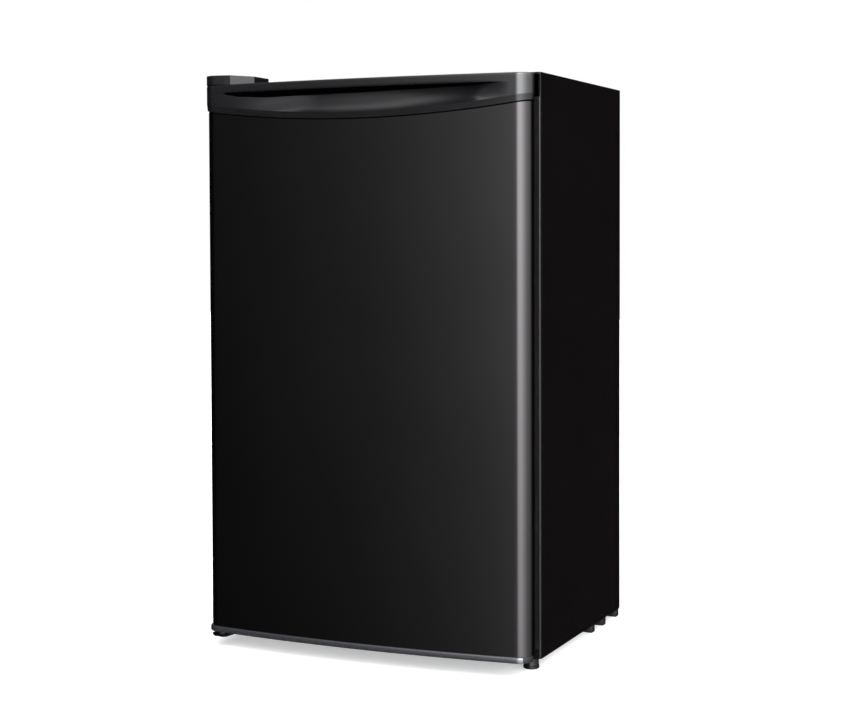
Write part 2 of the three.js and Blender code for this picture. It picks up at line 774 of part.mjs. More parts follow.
// The bar in front of the finger room, let into the cap with inset all round.
const barTop = lipBottom + lipThickness;
const barRing = (inset) => cut(
  doorBlock(capOverhang + (inset > 0 ? 0 : 5), lipBottom - 1, barTop - inset),
  doorBlock(capOverhang - lipThickness - 1, lipBottom - 5, barTop + 5),
).intersect(box(inset - pocketHalfLength, pocketHalfLength - inset, doorRear - doorBow - 30,
  doorRear, lipBottom - 5, barTop + 5));
const handleBar = () => cut(barRing(gap), pocket(0));

function topCap() {
  const bushingHole = rodZ(hingeX, hingeY, bushingRadius + gap, topBossBottom + capWall / 2,
    doorTop + 5);
  return cut(doorBlock(capOverhang, capEnd - capSag - 5, doorTop), underCap(0), pocket(0),
    capFilling(capWall, 5), barRing(0), bushingHole);
}

function bottomCap() {
  const plate = doorBlock(bottomCapOverhang, doorBottom, bottomCapTop);
  const boss = rodZ(hingeX, hingeY, bossRadius, bottomCapTop - 2, bottomBossTop);
  const hole = rodZ(hingeX, hingeY, bushingRadius + gap, doorBottom - 5,
    bottomBossTop - capWall);
  return cut(join(plate, boss), hole);
}

function trimStrip() {
  const inner = bottomCapOverhang + gap;
  const z0 = doorBottom + gap;
  const band = cut(doorBlock(inner + trimThickness, z0, z0 + trimHeight),
    doorBlock(inner, z0 - 5, z0 + trimHeight + 5));
  const end = cornerX + doorEdgeRadius * 0.6;
  return cut(band, box(end, halfWidth + 20, -100, 10, 0, 100),
    box(-halfWidth - 20, -end, doorRear - doorEdgeRadius * 0.5, 10, 0, 100));
}

// The inner side of the door, with its sheet's faces moved in by t.
function linerForm(t) {
  const rim = box(-linerHalf + t, linerHalf - t, doorRear + gap - t, -linerStep - t,
    linerLow + t, linerHigh - t);
  const plug = box(-plugHalf + t, plugHalf - t, -linerStep - t - 1, plugDepth - t,
    plugLow + t, plugHigh - t);
  const dikes = racks.flatMap(({ base, height }) => [-1, 1].map((side) => {
    const inside = side * (rackHalfLength + 0.8 + t);
    const outside = side * (rackHalfLength + 0.8 + dikeWidth - t);
    return box(Math.min(inside, outside), Math.max(inside, outside), plugDepth - t - 1,
      dikeReach - t, base - 8 + t, base + height + 8 - t);
  }));
  return join(rim, plug, ...dikes);
}

const doorLiner = () => cut(linerForm(0), linerForm(linerSheet));

function doorFoam() {
  const inset = steel + gap;
  const main = doorBlock(-inset, bottomCapTop + gap, doorTop, doorRear - inset)
    .intersect(underCap(inset));
  const rearHalf = halfWidth - 10 - gap;
  const behind = box(-rearHalf, rearHalf, doorRear - inset - 1, doorRear + 2,
    bottomCapTop + gap, capEnd - capSag);
  const inFront = box(-halfWidth, halfWidth, doorRear - 10, doorRear + gap, 0, doorTop);
  const inLiner = cut(linerForm(linerSheet + gap), inFront);
  const bottomBoss = rodZ(hingeX, hingeY, bossRadius + gap, 0, bottomBossTop + gap);
  const filling = capFilling(capWall + gap).intersect(
    box(-rearHalf, rearHalf, -100, doorRear - gap, 0, 2000));
  const joinBand = cut(doorBlock(-capWall - gap, capEnd - capSag - 20, cavityTop - gap,
    doorRear - inset), pocket(capWall + gap));
  return cut(join(main, behind, inLiner, filling, joinBand), bottomBoss);
}

function gasket() {
  const outer = halfWidth - gasketInset;
  const inner = outer - gasketWidth;
  const low = cabinetBottom + gasketInset;
  const high = cabinetTop - gasketInset;
  return cut(box(-outer, outer, -linerStep + gap, -gasketPlay, low, high),
    box(-inner, inner, -50, 5, low + gasketWidth, high - gasketWidth));
}

function doorRack({ base, height }) {
  const near = plugDepth + gap;
  const outer = box(-rackHalfLength, rackHalfLength, near, rackReach, base, base + height);
  const inner = box(-rackHalfLength + rackWall, rackHalfLength - rackWall, near + rackWall,
    rackReach - rackWall, base + rackWall, base + height + 5);
  return cut(outer, inner);
}

function bushing(flangeLow, flangeHigh, low, high) {
  const body = join(rodZ(hingeX, hingeY, flangeRadius, flangeLow, flangeHigh),
    rodZ(hingeX, hingeY, bushingRadius, low, high));
  return cut(body, rodZ(hingeX, hingeY, pinHole, low - 5, high + 5));
}

add('door_skin', doorSkin(), paint.doorBlack);
add('door_top_cap', topCap(), paint.capBlack);
add('door_handle_bar', handleBar(), paint.capBlack);
add('door_bottom_cap', bottomCap(), paint.plasticBlack);
add('door_trim_strip', trimStrip(), paint.trim);
add('door_liner', doorLiner(), paint.white);
add('door_foam', doorFoam(), paint.foam);
add('door_gasket', gasket(), paint.rubber);
for (const rack of racks) add(rack.name, doorRack(rack), paint.clear);
add('door_bushing_top', bushing(doorTop + gap, doorTop + gap + 2,
  topBossBottom + capWall / 2 + gap, doorTop + gap + 1), paint.white);
add('door_bushing_bottom', bushing(lowerPlateTop + gap, doorBottom - gap,
  doorBottom - gap - 1, bottomBossTop - capWall - gap), paint.white);

// ---------------------------------------------------------------- shelves

function shelf(name, level) {
  const half = innerHalf - 1;
  const trimHalf = innerHalf - ledgeWidth - 1;
  const front = ledgeFront + 2;
  const glassFront = front + trimBarDepth / 2;
  const middle = level + glassThickness / 2;
  const slot = glassThickness / 2 + gap;
  const glass = box(-half, half, glassFront, front + shelfDepth, level, level + glassThickness);
  const notch = (side) => box(Math.min(side * trimHalf - side, side * (half + 5)),
    Math.max(side * trimHalf - side, side * (half + 5)), 0, front + trimBarDepth + gap,
    level - 20, level + 20);
  const bar = cut(
    box(-trimHalf, trimHalf, front, front + trimBarDepth, middle - trimBarHeight / 2,
      middle + trimBarHeight / 2),
    box(-trimHalf - 5, trimHalf + 5, glassFront - gap, front + trimBarDepth + 5,
      middle - slot, middle + slot));
  add(name, cut(glass, notch(-1), notch(1)), paint.clear);
  add(`${name}_trim`, bar, paint.white);
}

shelf('shelf_lower', shelfLevel(0));
shelf('shelf_upper', shelfLevel(2));

// ---------------------------------------------------------------- chiller compartment

const frameOuterHalf = chillerHalf + 6;
const frameInnerHalf = chillerHalf - 4;
const frameFront = chillerFront - chillerFrameDepth;
const frameBottom = chillerBottom - 4;
const frameTop = chillerTop + 5;
const openingBottom = frameBottom + chillerFrameBar;
const openingTop = frameTop - chillerFrameBar;
const flapAxisZ = openingTop - flapAxisBelowTop;
const flapAxisY = frameFront + chillerFrameDepth / 2;
const flapPinRadius = 2;

function chillerBox() {
  const t = chillerSheet;
  const hanger = box(-chillerHalf + 40, chillerHalf - 40, chillerFront + 60, chillerBack - 60,
    chillerTop - t / 2, innerCeiling - gap);
  return join(cut(
    box(-chillerHalf, chillerHalf, chillerFront + gap, chillerBack, chillerBottom, chillerTop),
    box(-chillerHalf + t, chillerHalf - t, chillerFront - 5, chillerBack - t,
      chillerBottom + t, chillerTop - t)), hanger);
}

function chillerFrame() {
  const ring = cut(
    box(-frameOuterHalf, frameOuterHalf, frameFront, chillerFront, frameBottom, frameTop),
    box(-frameInnerHalf, frameInnerHalf, frameFront - 5, chillerFront + 5,
      openingBottom, openingTop));
  const reach = frameInnerHalf + 5;
  return cut(ring, rodX(-reach, reach, flapAxisY, flapAxisZ, flapPinRadius + runningPlay, 16));
}

function chillerFlap() {
  const half = frameInnerHalf - 1;
  const front = flapAxisY - flapThickness / 2;
  const panel = box(-half, half, front, front + flapThickness, openingBottom + 1,
    flapAxisZ + flapThickness / 2 + 1);
  const pins = rodX(-frameInnerHalf - 4, frameInnerHalf + 4, flapAxisY, flapAxisZ,
    flapPinRadius, 16);
  const grip = box(-45, 45, front - 6, front + 1, openingBottom + 8, openingBottom + 14);
  return join(panel, pins, grip);
}

function dripTray() {
  const half = innerHalf - ledgeWidth - 4;
  const low = trayTop - trayHeight;
  const front = frameFront + 4;
  const outer = box(-half, half, front, chillerBack - 4, low, trayTop);
  const inner = box(-half + trayWall, half - trayWall, front + trayWall,
    chillerBack - 4 - trayWall, low + trayWall, trayTop + 5);
  const lips = [-1, 1].map((side) => {
    const inside = side * (half - 1);
    const outside = side * (innerHalf - 2);
    return box(Math.min(inside, outside), Math.max(inside, outside), front, chillerBack - 4,
      trayTop - trayLip, trayTop);
  });
  return join(cut(outer, inner), ...lips);
}

add('evaporator_box', chillerBox(), paint.aluminium);
add('evaporator_frame', chillerFrame(), paint.white);
add('freezer_flap', chillerFlap(), paint.clear);
add('drip_tray', dripTray(), paint.clear);

// ---------------------------------------------------------------- thermostat

const housingInside = innerHalf - thermostatDepth;
const housingFront = chillerFront + 34;
const knobY = housingFront + 30;
const knobZ = thermostatTop - thermostatHeight / 2;
const housingWall = 2.5;

function thermostatHousing() {
  const wallSide = innerHalf - gap;
  const outer = box(housingInside, wallSide, housingFront, housingFront + thermostatLength,
    thermostatTop - thermostatHeight, thermostatTop);
  const inner = box(housingInside + housingWall, wallSide + 5, housingFront + housingWall,
    housingFront + thermostatLength - housingWall,
    thermostatTop - thermostatHeight + housingWall, thermostatTop - housingWall);
  return cut(outer, inner,
    rodX(housingInside - 5, housingInside + 10, knobY, knobZ, shaftRadius + 1));
}

function thermostatSwitch() {
  const inside = housingInside + 12;
  const body = box(inside, innerHalf - 2 * gap, knobY - 18, knobY + 26, knobZ - 16, knobZ + 16);
  return cut(body, rodX(inside - 5, inside + 10, knobY, knobZ, shaftRadius + runningPlay));
}

function thermostatKnob() {
  const end = housingInside - 1;
  const grip = rodX(end - knobLength, end, knobY, knobZ, knobRadius, 32);
  const ridge = box(end - knobLength - 4, end - knobLength + 1, knobY - 2.5, knobY + 2.5,
    knobZ - knobRadius + 3, knobZ + knobRadius - 3);
  return join(grip, ridge, rodX(end - 2, housingInside + 18, knobY, knobZ, shaftRadius, 16));
}

add('thermostat_housing', thermostatHousing(), paint.white);
add('thermostat_switch', thermostatSwitch(), paint.plasticBlack);
add('thermostat_knob', thermostatKnob(), paint.white);

// ---------------------------------------------------------------- compressor and circuit

const basePlateHalf = halfWidth - rearFlange - gap;
const feetThickness = 3;
const canBottom = compressorFeet + feetThickness - 1;
const canTop = compressorFeet + compressorHeight;
const grommetX = compressorWidth / 2 + 12;
const grommetY = compressorDepth / 2 - 14;
const grommetPlaces = [-1, 1].flatMap((sx) => [-1, 1].map((sy) => (
  [compressorX + sx * grommetX, compressorY + sy * grommetY])));

const dischargeZ = canBottom + 40;
const suctionZ = canBottom + 26;
const suctionY = compressorY - 24;
const pipeStubs = [[compressorY, dischargeZ], [suctionY, suctionZ]];
const stubEnd = compressorX - compressorWidth / 2 - 6;

function basePlate() {
  const rear = cabinetDepth + basePlateOverhang;
  return box(-basePlateHalf, basePlateHalf, bayFront + 2 * gap, rear, cabinetBottom,
    basePlateTop);
}

// A welded steel can, oval in plan, on a pressed plate that carries its four grommets.
function compressor() {
  const radius = compressorDepth / 2;
  const outline = [
    [0, canBottom],
    [radius * 0.72, canBottom],
    [radius * 0.93, canBottom + 14],
    [radius * 0.97, canBottom + 62],
    [radius, canBottom + 63],
    [radius, canBottom + 70],
    [radius * 0.97, canBottom + 71],
    [radius * 0.94, canTop - 36],
    [radius * 0.8, canTop - 14],
    [radius * 0.5, canTop - 3],
    [0, canTop],
  ].map(([r, z]) => new THREE.Vector2(r, z));
  const can = new THREE.LatheGeometry(outline, 32).rotateX(Math.PI / 2)
    .scale(compressorWidth / compressorDepth, 1, 1).translate(compressorX, compressorY, 0);
  const plate = box(compressorX - grommetX - 14, compressorX + grommetX + 14,
    compressorY - grommetY - 14, compressorY + grommetY + 14,
    compressorFeet, compressorFeet + feetThickness);
  const holes = grommetPlaces.map(([x, y]) => (
    rodZ(x, y, grommetRadius * 0.6 + gap, compressorFeet - 5, compressorFeet + 20)));
  const stubs = pipeStubs.map(([y, z]) => (
    rodX(stubEnd, compressorX, y, z, pipeRadius + 1, 12)));
  return join(cut(plate, ...holes), solid(can), ...stubs);
}

// A rubber bush with a collar that the compressor's plate rests on.
function grommet([x, y]) {
  const body = join(
    rodZ(x, y, grommetRadius, basePlateTop + gap, compressorFeet - gap),
    rodZ(x, y, grommetRadius * 0.6, basePlateTop + gap, compressorFeet + feetThickness + 3));
  return cut(body, rodZ(x, y, 2.5, basePlateTop - 5, compressorFeet + 30));
}

const relayInside = compressorX + compressorWidth / 2 + gap;
const relayBottom = canBottom + 20;
const condenserY = cabinetDepth + condenserStandOff;
const condenserLow = humpTop;
const condenserRuns = Math.floor((cabinetTop - 40 - condenserLow) / condenserPitch / 2) * 2 + 1;
const condenserHigh = condenserLow + (condenserRuns - 1) * condenserPitch;

// The serpentine from its lower left end to its upper right end.
function condenserRoute() {
  const corners = [[-condenserHalfWidth - condenserBendRadius, condenserY, condenserLow]];
  for (let run = 0; run < condenserRuns; run += 1) {
    const side = run % 2 === 0 ? 1 : -1;
    const z = condenserLow + run * condenserPitch;
    if (run > 0) corners.push([-side * condenserHalfWidth, condenserY, z]);
    if (run < condenserRuns - 1) corners.push([side * condenserHalfWidth, condenserY, z]);
  }
  corners.push([condenserHalfWidth, condenserY, condenserHigh]);
  return bent(corners, Math.min(condenserBendRadius, condenserPitch / 2) - 0.5, 6);
}

function condenserWires() {
  const wireY = condenserY + condenserTubeRadius + gap + wireRadius;
  const low = condenserLow - 18;
  const high = condenserHigh + 18;
  const half = condenserHalfWidth - 24;
  const wires = Array.from({ length: wireCount }, (_, i) => {
    const x = -half + 2 * half * i / (wireCount - 1);
    return rodZ(x, wireY, wireRadius, low, high, 6);
  });
  const straps = [low + 6, high - 6].map((z) => (
    box(-half - 6, half + 6, wireY, wireY + strapSize, z - strapSize / 2, z + strapSize / 2)));
  return join(straps[0], straps[1], ...wires);
}

// A folded strip that holds the condenser off the back of the cabinet.
function condenserBracket(side) {
  const t = 1.5;
  const panel = cabinetDepth - steel;
  const lip = condenserY - condenserTubeRadius - gap;
  const root = condenserHalfWidth - 30;
  const outline = [
    [root - 12, panel],
    [root + 8, panel],
    [root + 8, lip - t],
    [root + 24, lip - t],
    [root + 24, lip],
    [root + 8 - t, lip],
    [root + 8 - t, panel + t],
    [root - 12, panel + t],
  ].map(([x, y]) => [side * x, y]);
  return prismZ(side < 0 ? outline.reverse() : outline, condenserLow - 12, condenserHigh + 12);
}

const drierX = -halfWidth + 60;
const drierY = cabinetDepth - 30;
const drierLow = bayTop - drierLength - 30;

add('compressor_base_plate', basePlate(), paint.steel);
add('compressor', compressor(), paint.plasticBlack);
grommetPlaces.forEach((place, i) => add(`compressor_grommet_${i + 1}`, grommet(place),
  paint.rubber));
add('relay_cover', box(relayInside, relayInside + 34, compressorY - 24, compressorY + 24,
  relayBottom, relayBottom + 58), paint.plasticBlack);
add('discharge_pipe', tube(bent([
  [stubEnd - gap, compressorY, dischargeZ],
  [stubEnd - 34, compressorY, dischargeZ],
  [stubEnd - 34, compressorY, bayTop - 22],
  [stubEnd - 34, condenserY, bayTop - 22],
  [-condenserHalfWidth - condenserBendRadius - gap, condenserY, bayTop - 22],
  [-condenserHalfWidth - condenserBendRadius - gap, condenserY, condenserLow - 8],
], 12), pipeRadius), paint.copper);
add('suction_pipe', tube(bent([
  [stubEnd - gap, suctionY, suctionZ],
  [suctionPlace[0], suctionY, suctionZ],
  [suctionPlace[0], suctionPlace[1], suctionZ + 34],
  [suctionPlace[0], suctionPlace[1], bayTop + 24],
], 12), pipeRadius), paint.copper);
add('filter_drier', turned(drierX, drierY, [
  [0, drierLow - 14], [pipeRadius, drierLow - 14], [pipeRadius, drierLow],
  [drierRadius, drierLow + 8], [drierRadius, drierLow + drierLength - 8],
  [pipeRadius, drierLow + drierLength], [pipeRadius, drierLow + drierLength + 14],
  [0, drierLow + drierLength + 14]], 20), paint.copper);
add('condenser_tube', tube(condenserRoute(), condenserTubeRadius), paint.plasticBlack);
add('condenser_wires', condenserWires(), paint.plasticBlack);
add('condenser_bracket_left', condenserBracket(-1), paint.plasticBlack);
add('condenser_bracket_right', condenserBracket(1), paint.plasticBlack);

function cordGland() {
  const x = halfWidth - 56;
  const rear = cabinetDepth + basePlateOverhang - 4;
  const block = box(x - 9, x + 9, rear - 16, rear, basePlateTop + gap, basePlateTop + 20);
  return cut(block, rodY(x, rear - 30, rear + 10, basePlateTop + 11, 3.8, 16));
}

add('cord_gland', cordGland(), paint.plasticBlack);

// ---------------------------------------------------------------- origin at the base

const front = doorRear - doorBow - bottomCapOverhang - gap - trimThickness;
const rear = cabinetDepth + basePlateOverhang;
fridge.position.y = -(Math.min(front, doorRear - doorBow - capOverhang) + rear) / 2;

export default fridge;
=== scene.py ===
import json
import math

import bmesh
import bpy
from bpy.props import FloatProperty, FloatVectorProperty, PointerProperty
from mathutils import Matrix, Vector


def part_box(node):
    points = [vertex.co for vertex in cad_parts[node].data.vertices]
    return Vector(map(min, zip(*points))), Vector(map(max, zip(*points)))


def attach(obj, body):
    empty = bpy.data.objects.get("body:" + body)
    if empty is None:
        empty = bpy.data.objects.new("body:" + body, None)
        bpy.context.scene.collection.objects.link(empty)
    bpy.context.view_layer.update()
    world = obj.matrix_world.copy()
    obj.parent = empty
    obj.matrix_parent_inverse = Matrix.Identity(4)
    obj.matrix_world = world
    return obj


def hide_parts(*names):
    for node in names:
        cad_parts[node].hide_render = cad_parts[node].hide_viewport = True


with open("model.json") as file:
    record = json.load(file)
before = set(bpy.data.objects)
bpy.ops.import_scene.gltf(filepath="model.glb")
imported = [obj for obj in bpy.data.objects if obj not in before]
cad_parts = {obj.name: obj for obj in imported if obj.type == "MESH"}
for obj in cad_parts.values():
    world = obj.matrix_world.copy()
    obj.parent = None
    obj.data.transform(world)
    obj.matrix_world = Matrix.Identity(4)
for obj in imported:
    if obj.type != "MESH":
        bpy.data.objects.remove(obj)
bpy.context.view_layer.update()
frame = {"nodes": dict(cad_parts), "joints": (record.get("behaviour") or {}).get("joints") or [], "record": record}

bl_info = {
    "name": "Mini Fridge",
    "version": (1, 0, 0),
    "blender": (4, 5, 0),
    "location": "View3D > Sidebar > Fridge",
    "description": "Builds the finished surfaces of a compact refrigerator round its fixed frame",
    "category": "Object",
}

MM = 0.001
Z_AXIS = Vector((0, 0, 1))


# ------------------------------------------------------------------ settings


def length(name, description, default):
    return FloatProperty(name=name, description=description, default=default, unit="LENGTH")


def colour(name, description, default):
    return FloatVectorProperty(name=name, description=description, default=default,
                               subtype="COLOR", size=3, min=0, max=1)


class FridgeDoorSettings(bpy.types.PropertyGroup):
    """Sizes and colours of the door."""

    edge_radius: length("Edge radius", "Round of the door's upright corners", 0.0195)
    sheet: length("Sheet", "Thickness of the door's steel skin", 0.0009)
    flange: length("Flange", "Reach of the flange that turns in behind the door", 0.009)
    cap_overhang: length("Cap overhang", "How far the top cap stands out over the skin", 0.0027)
    cap_end_height: length("Cap end height", "Height of the top cap at its ends", 0.037)
    cap_gap: length("Cap gap", "Shadow gap between the cap and the skin", 0.0015)
    crease_height: length("Crease height", "Crease over the cap's lower edge", 0.009)
    lip_height: length("Lip height", "Height of the bar over the handle pocket", 0.0125)
    pocket_left: length("Pocket left", "Reach of the handle pocket to the left", 0.222)
    pocket_right: length("Pocket right", "Reach of the handle pocket to the right", 0.229)
    pocket_taper: length("Pocket taper", "Run in which the scooped face fades out", 0.165)
    cap_underside: length("Cap underside", "Width of the cap's lower edge", 0.0024)
    cap_rounding: length("Cap rounding", "Round of the cap's upper edge", 0.0024)
    tongue_depth: length("Tongue depth", "Depth of the tongue behind the cap's face", 0.0033)
    bar_thickness: length("Bar thickness", "Thickness of the bar over the slit", 0.0045)
    finger_room: length("Finger room", "Depth of the slit behind the scooped face", 0.011)
    scoop_depth: length("Scoop depth", "Depth of the scooped face at its top edge", 0.015)
    slit_height: length("Slit height", "Height of the slit under the bar where it is widest",
                        0.0089)
    skin_colour: colour("Skin", "Brushed black steel", (0.082, 0.078, 0.079))
    cap_colour: colour("Cap", "Satin black plastic of the top cap", (0.0045, 0.0045, 0.005))
    trim_colour: colour("Trim", "Dark bright moulding along the bottom", (0.14, 0.145, 0.155))


class FridgeShellSettings(bpy.types.PropertyGroup):
    """Sizes and colours of the cabinet."""

    fold_radius: length("Fold radius", "Round of the folded front edges", 0.003)
    sheet: length("Sheet", "Thickness of the shell's steel sheet", 0.001)
    shell_colour: colour("Shell", "Pebbled black lacquer of the cabinet", (0.0024, 0.0017, 0.0020))
    plastic_colour: colour("Black plastic", "Feet, caps and small mouldings",
                           (0.006, 0.006, 0.006))
    foot_head: length("Foot head", "Height of a levelling foot's round head", 0.0157)


class FridgeInsideSettings(bpy.types.PropertyGroup):
    """Sizes and colours of the inside."""

    liner_colour: colour("Liner", "White polystyrene", (0.79, 0.80, 0.81))
    glass_colour: colour("Glass", "Tempered shelf glass", (0.80, 0.92, 0.87))
    clear_colour: colour("Clear plastic", "Racks, tray and flap", (0.80, 0.88, 0.92))


class FridgeStageSettings(bpy.types.PropertyGroup):
    """Floor, lights and camera."""

    floor_colour: colour("Floor", "Pale studio floor", (0.93, 0.93, 0.93))
    top_power: FloatProperty(name="Overhead", description="Power of the overhead panel",
                             default=18.0, unit="POWER")
    strip: FloatProperty(name="Softbox", description="Brightness of the tall softbox in front",
                         default=5.0)
    ambient: FloatProperty(name="Ambient", description="Brightness of the rest of the studio",
                           default=0.010)
    yaw: FloatProperty(name="Yaw", description="Camera's turn to the right, in degrees",
                       default=24.25)
    pitch: FloatProperty(name="Pitch", description="Camera's tilt downwards, in degrees",
                         default=2.06)
    roll: FloatProperty(name="Roll", description="Camera's roll, in degrees", default=-0.2)
    distance: length("Distance", "From the cabinet's front to the camera", 2.2328)
    lens: FloatProperty(name="Lens", description="Focal length on a 36 mm sensor", default=72.1)
    shift_y: FloatProperty(name="Shift", description="Vertical lens shift", default=-0.0836)


# ------------------------------------------------------------------ mesh helpers


def block(bm, low, high):
    """A box between two corners; gives back its vertices."""
    low, high = Vector(low), Vector(high)
    made = bmesh.ops.create_cube(bm, size=1)["verts"]
    bmesh.ops.scale(bm, verts=made, vec=high - low)
    bmesh.ops.translate(bm, verts=made, vec=(low + high) / 2)
    return made


def rod(bm, start, end, radius, segments=24):
    """A closed cylinder from one point to another."""
    start, end = Vector(start), Vector(end)
    turn = (end - start).to_track_quat("Z", "Y").to_matrix().to_4x4()
    place = Matrix.Translation((start + end) / 2) @ turn
    return bmesh.ops.create_cone(bm, cap_ends=True, segments=segments, radius1=radius,
                                 radius2=radius, depth=(end - start).length, matrix=place)["verts"]


def turned(bm, profile, centre, segments=48):
    """A closed solid turned about an upright line; profile is (radius, z) from axis to axis."""
    x, y = centre
    verts = [bm.verts.new((x + r, y, z)) for r, z in profile]
    edges = [bm.edges.new(pair) for pair in zip(verts, verts[1:])]
    made = bmesh.ops.spin(bm, geom=verts + edges, cent=(x, y, 0), axis=Z_AXIS,
                          angle=math.tau, steps=segments, use_merge=True)
    fresh = {v for v in made["geom_last"] if isinstance(v, bmesh.types.BMVert)}
    bmesh.ops.remove_doubles(bm, verts=bm.verts, dist=1e-6)
    return fresh


def chain_edges(bm, row):
    """The edges along a row of vertices."""
    return [bm.edges.get(pair) for pair in zip(row, row[1:])]


def raised(bm, row, closed=False):
    """A copy of a row of vertices, joined to it by a strip of faces."""
    pairs = list(zip(row, row[1:] + row[:1])) if closed else list(zip(row, row[1:]))
    edges = [bm.edges.get(pair) for pair in pairs]
    made = bmesh.ops.extrude_edge_only(bm, edges=edges)["geom"]
    fresh = {v for v in made if isinstance(v, bmesh.types.BMVert)}
    return [next(e.other_vert(v) for e in v.link_edges if e.other_vert(v) in fresh) for v in row]


def sharp_edges(bm, angle=30):
    """Edges whose faces meet at more than this many degrees."""
    limit = math.radians(angle)
    return [e for e in bm.edges if len(e.link_faces) == 2 and e.calc_face_angle(0) > limit]


def soften(bm, width, segments=2, angle=30, edges=None):
    """Rounds the sharp edges, or the given ones."""
    chosen = sharp_edges(bm, angle) if edges is None else edges
    if chosen and width > 0:
        bmesh.ops.bevel(bm, geom=chosen, offset=width, offset_type="OFFSET", segments=segments,
                        profile=0.5, affect="EDGES", clamp_overlap=True, material=-1)


def set_outward(bm):
    bmesh.ops.recalc_face_normals(bm, faces=bm.faces)


def finished(name, bm, look, body, replaced=(), smooth=38, tidy=True):
    """Makes the piece from its bmesh, and ties it to its body, nodes and material slot."""
    if tidy:
        bmesh.ops.remove_doubles(bm, verts=bm.verts, dist=2e-6)
        bmesh.ops.dissolve_degenerate(bm, edges=bm.edges, dist=1e-6)
    mesh = bpy.data.meshes.new(name)
    bm.to_mesh(mesh)
    bm.free()
    mesh.shade_smooth()
    mesh.set_sharp_from_angle(angle=math.radians(smooth))
    piece = bpy.data.objects.new(name, mesh)
    bpy.context.scene.collection.objects.link(piece)
    for material in look if isinstance(look, (list, tuple)) else [look]:
        mesh.materials.append(material)
    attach(piece, body)
    if replaced:
        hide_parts(*replaced)
    return piece


def merged_copy(node):
    """The faces of a node of the frame, joined into clean flat faces."""
    bm = bmesh.new()
    bm.from_mesh(frame["nodes"][node].data)
    bmesh.ops.remove_doubles(bm, verts=bm.verts, dist=2e-6)
    bmesh.ops.dissolve_limit(bm, angle_limit=math.radians(0.6), verts=bm.verts, edges=bm.edges)
    return bm


def body_of(node):
    return next(b for b, nodes in frame["record"]["behaviour"]["bodies"].items() if node in nodes)


def slot_of(node):
    return next(s["material_slot"] for s in frame["record"]["subparts"] if s["node"] == node)


def softened(node, look, width, segments=2, smooth=38, angle=30):
    """The node's own shape with its hard edges rounded."""
    bm = merged_copy(node)
    soften(bm, width, segments, angle)
    return finished(f"{node}_finish", bm, look, body_of(node), [node], smooth)


# ------------------------------------------------------------------ materials


def new_group(name, inputs, outputs):
    """An empty shader group with named sockets."""
    group = bpy.data.node_groups.new(name, "ShaderNodeTree")
    for socket, kind, default in inputs:
        made = group.interface.new_socket(socket, in_out="INPUT", socket_type=kind)
        made.default_value = default
    for socket, kind in outputs:
        group.interface.new_socket(socket, in_out="OUTPUT", socket_type=kind)
    group.nodes.new("NodeGroupInput").name = "in"
    group.nodes.new("NodeGroupOutput").name = "out"
    return group


def node(tree, kind, links=None, **values):
    """A node with its properties and inputs set; links maps its inputs to other sockets."""
    made = tree.nodes.new(kind)
    for key, value in values.items():
        if hasattr(made, key):
            setattr(made, key, value)
        else:
            made.inputs[key.replace("_", " ")].default_value = value
    for key, socket in (links or {}).items():
        tree.links.new(socket, made.inputs[key])
    return made


def tone_group():
    """Slight unevenness of colour and gloss."""
    name = "Uneven tone"
    if name in bpy.data.node_groups:
        return bpy.data.node_groups[name]
    group = new_group(name, [
        ("Color", "NodeSocketColor", (0.5, 0.5, 0.5, 1)),
        ("Contrast", "NodeSocketFloat", 0.08),
        ("Roughness", "NodeSocketFloat", 0.4),
        ("Gloss Spread", "NodeSocketFloat", 0.06),
        ("Scale", "NodeSocketFloat", 9.0),
    ], [("Color", "NodeSocketColor"), ("Roughness", "NodeSocketFloat")])
    source, sink = group.nodes["in"], group.nodes["out"]
    place = node(group, "ShaderNodeTexCoord")
    cloud = node(group, "ShaderNodeTexNoise", {"Vector": place.outputs["Object"],
                                               "Scale": source.outputs["Scale"]},
                 Detail=4.0, Roughness=0.6)
    centred = node(group, "ShaderNodeMath", {0: cloud.outputs["Fac"]}, operation="SUBTRACT")
    centred.inputs[1].default_value = 0.5
    swing = node(group, "ShaderNodeMath", {0: centred.outputs[0], 1: source.outputs["Contrast"]},
                 operation="MULTIPLY")
    bright = node(group, "ShaderNodeMath", {0: swing.outputs[0]}, operation="MULTIPLY_ADD")
    bright.inputs[1].default_value = 2.0
    bright.inputs[2].default_value = 1.0
    tinted = node(group, "ShaderNodeHueSaturation", {"Color": source.outputs["Color"],
                                                     "Value": bright.outputs[0]})
    gloss = node(group, "ShaderNodeMath", {0: centred.outputs[0],
                                           1: source.outputs["Gloss Spread"],
                                           2: source.outputs["Roughness"]},
                 operation="MULTIPLY_ADD")
    group.links.new(tinted.outputs["Color"], sink.inputs["Color"])
    group.links.new(gloss.outputs[0], sink.inputs["Roughness"])
    return group


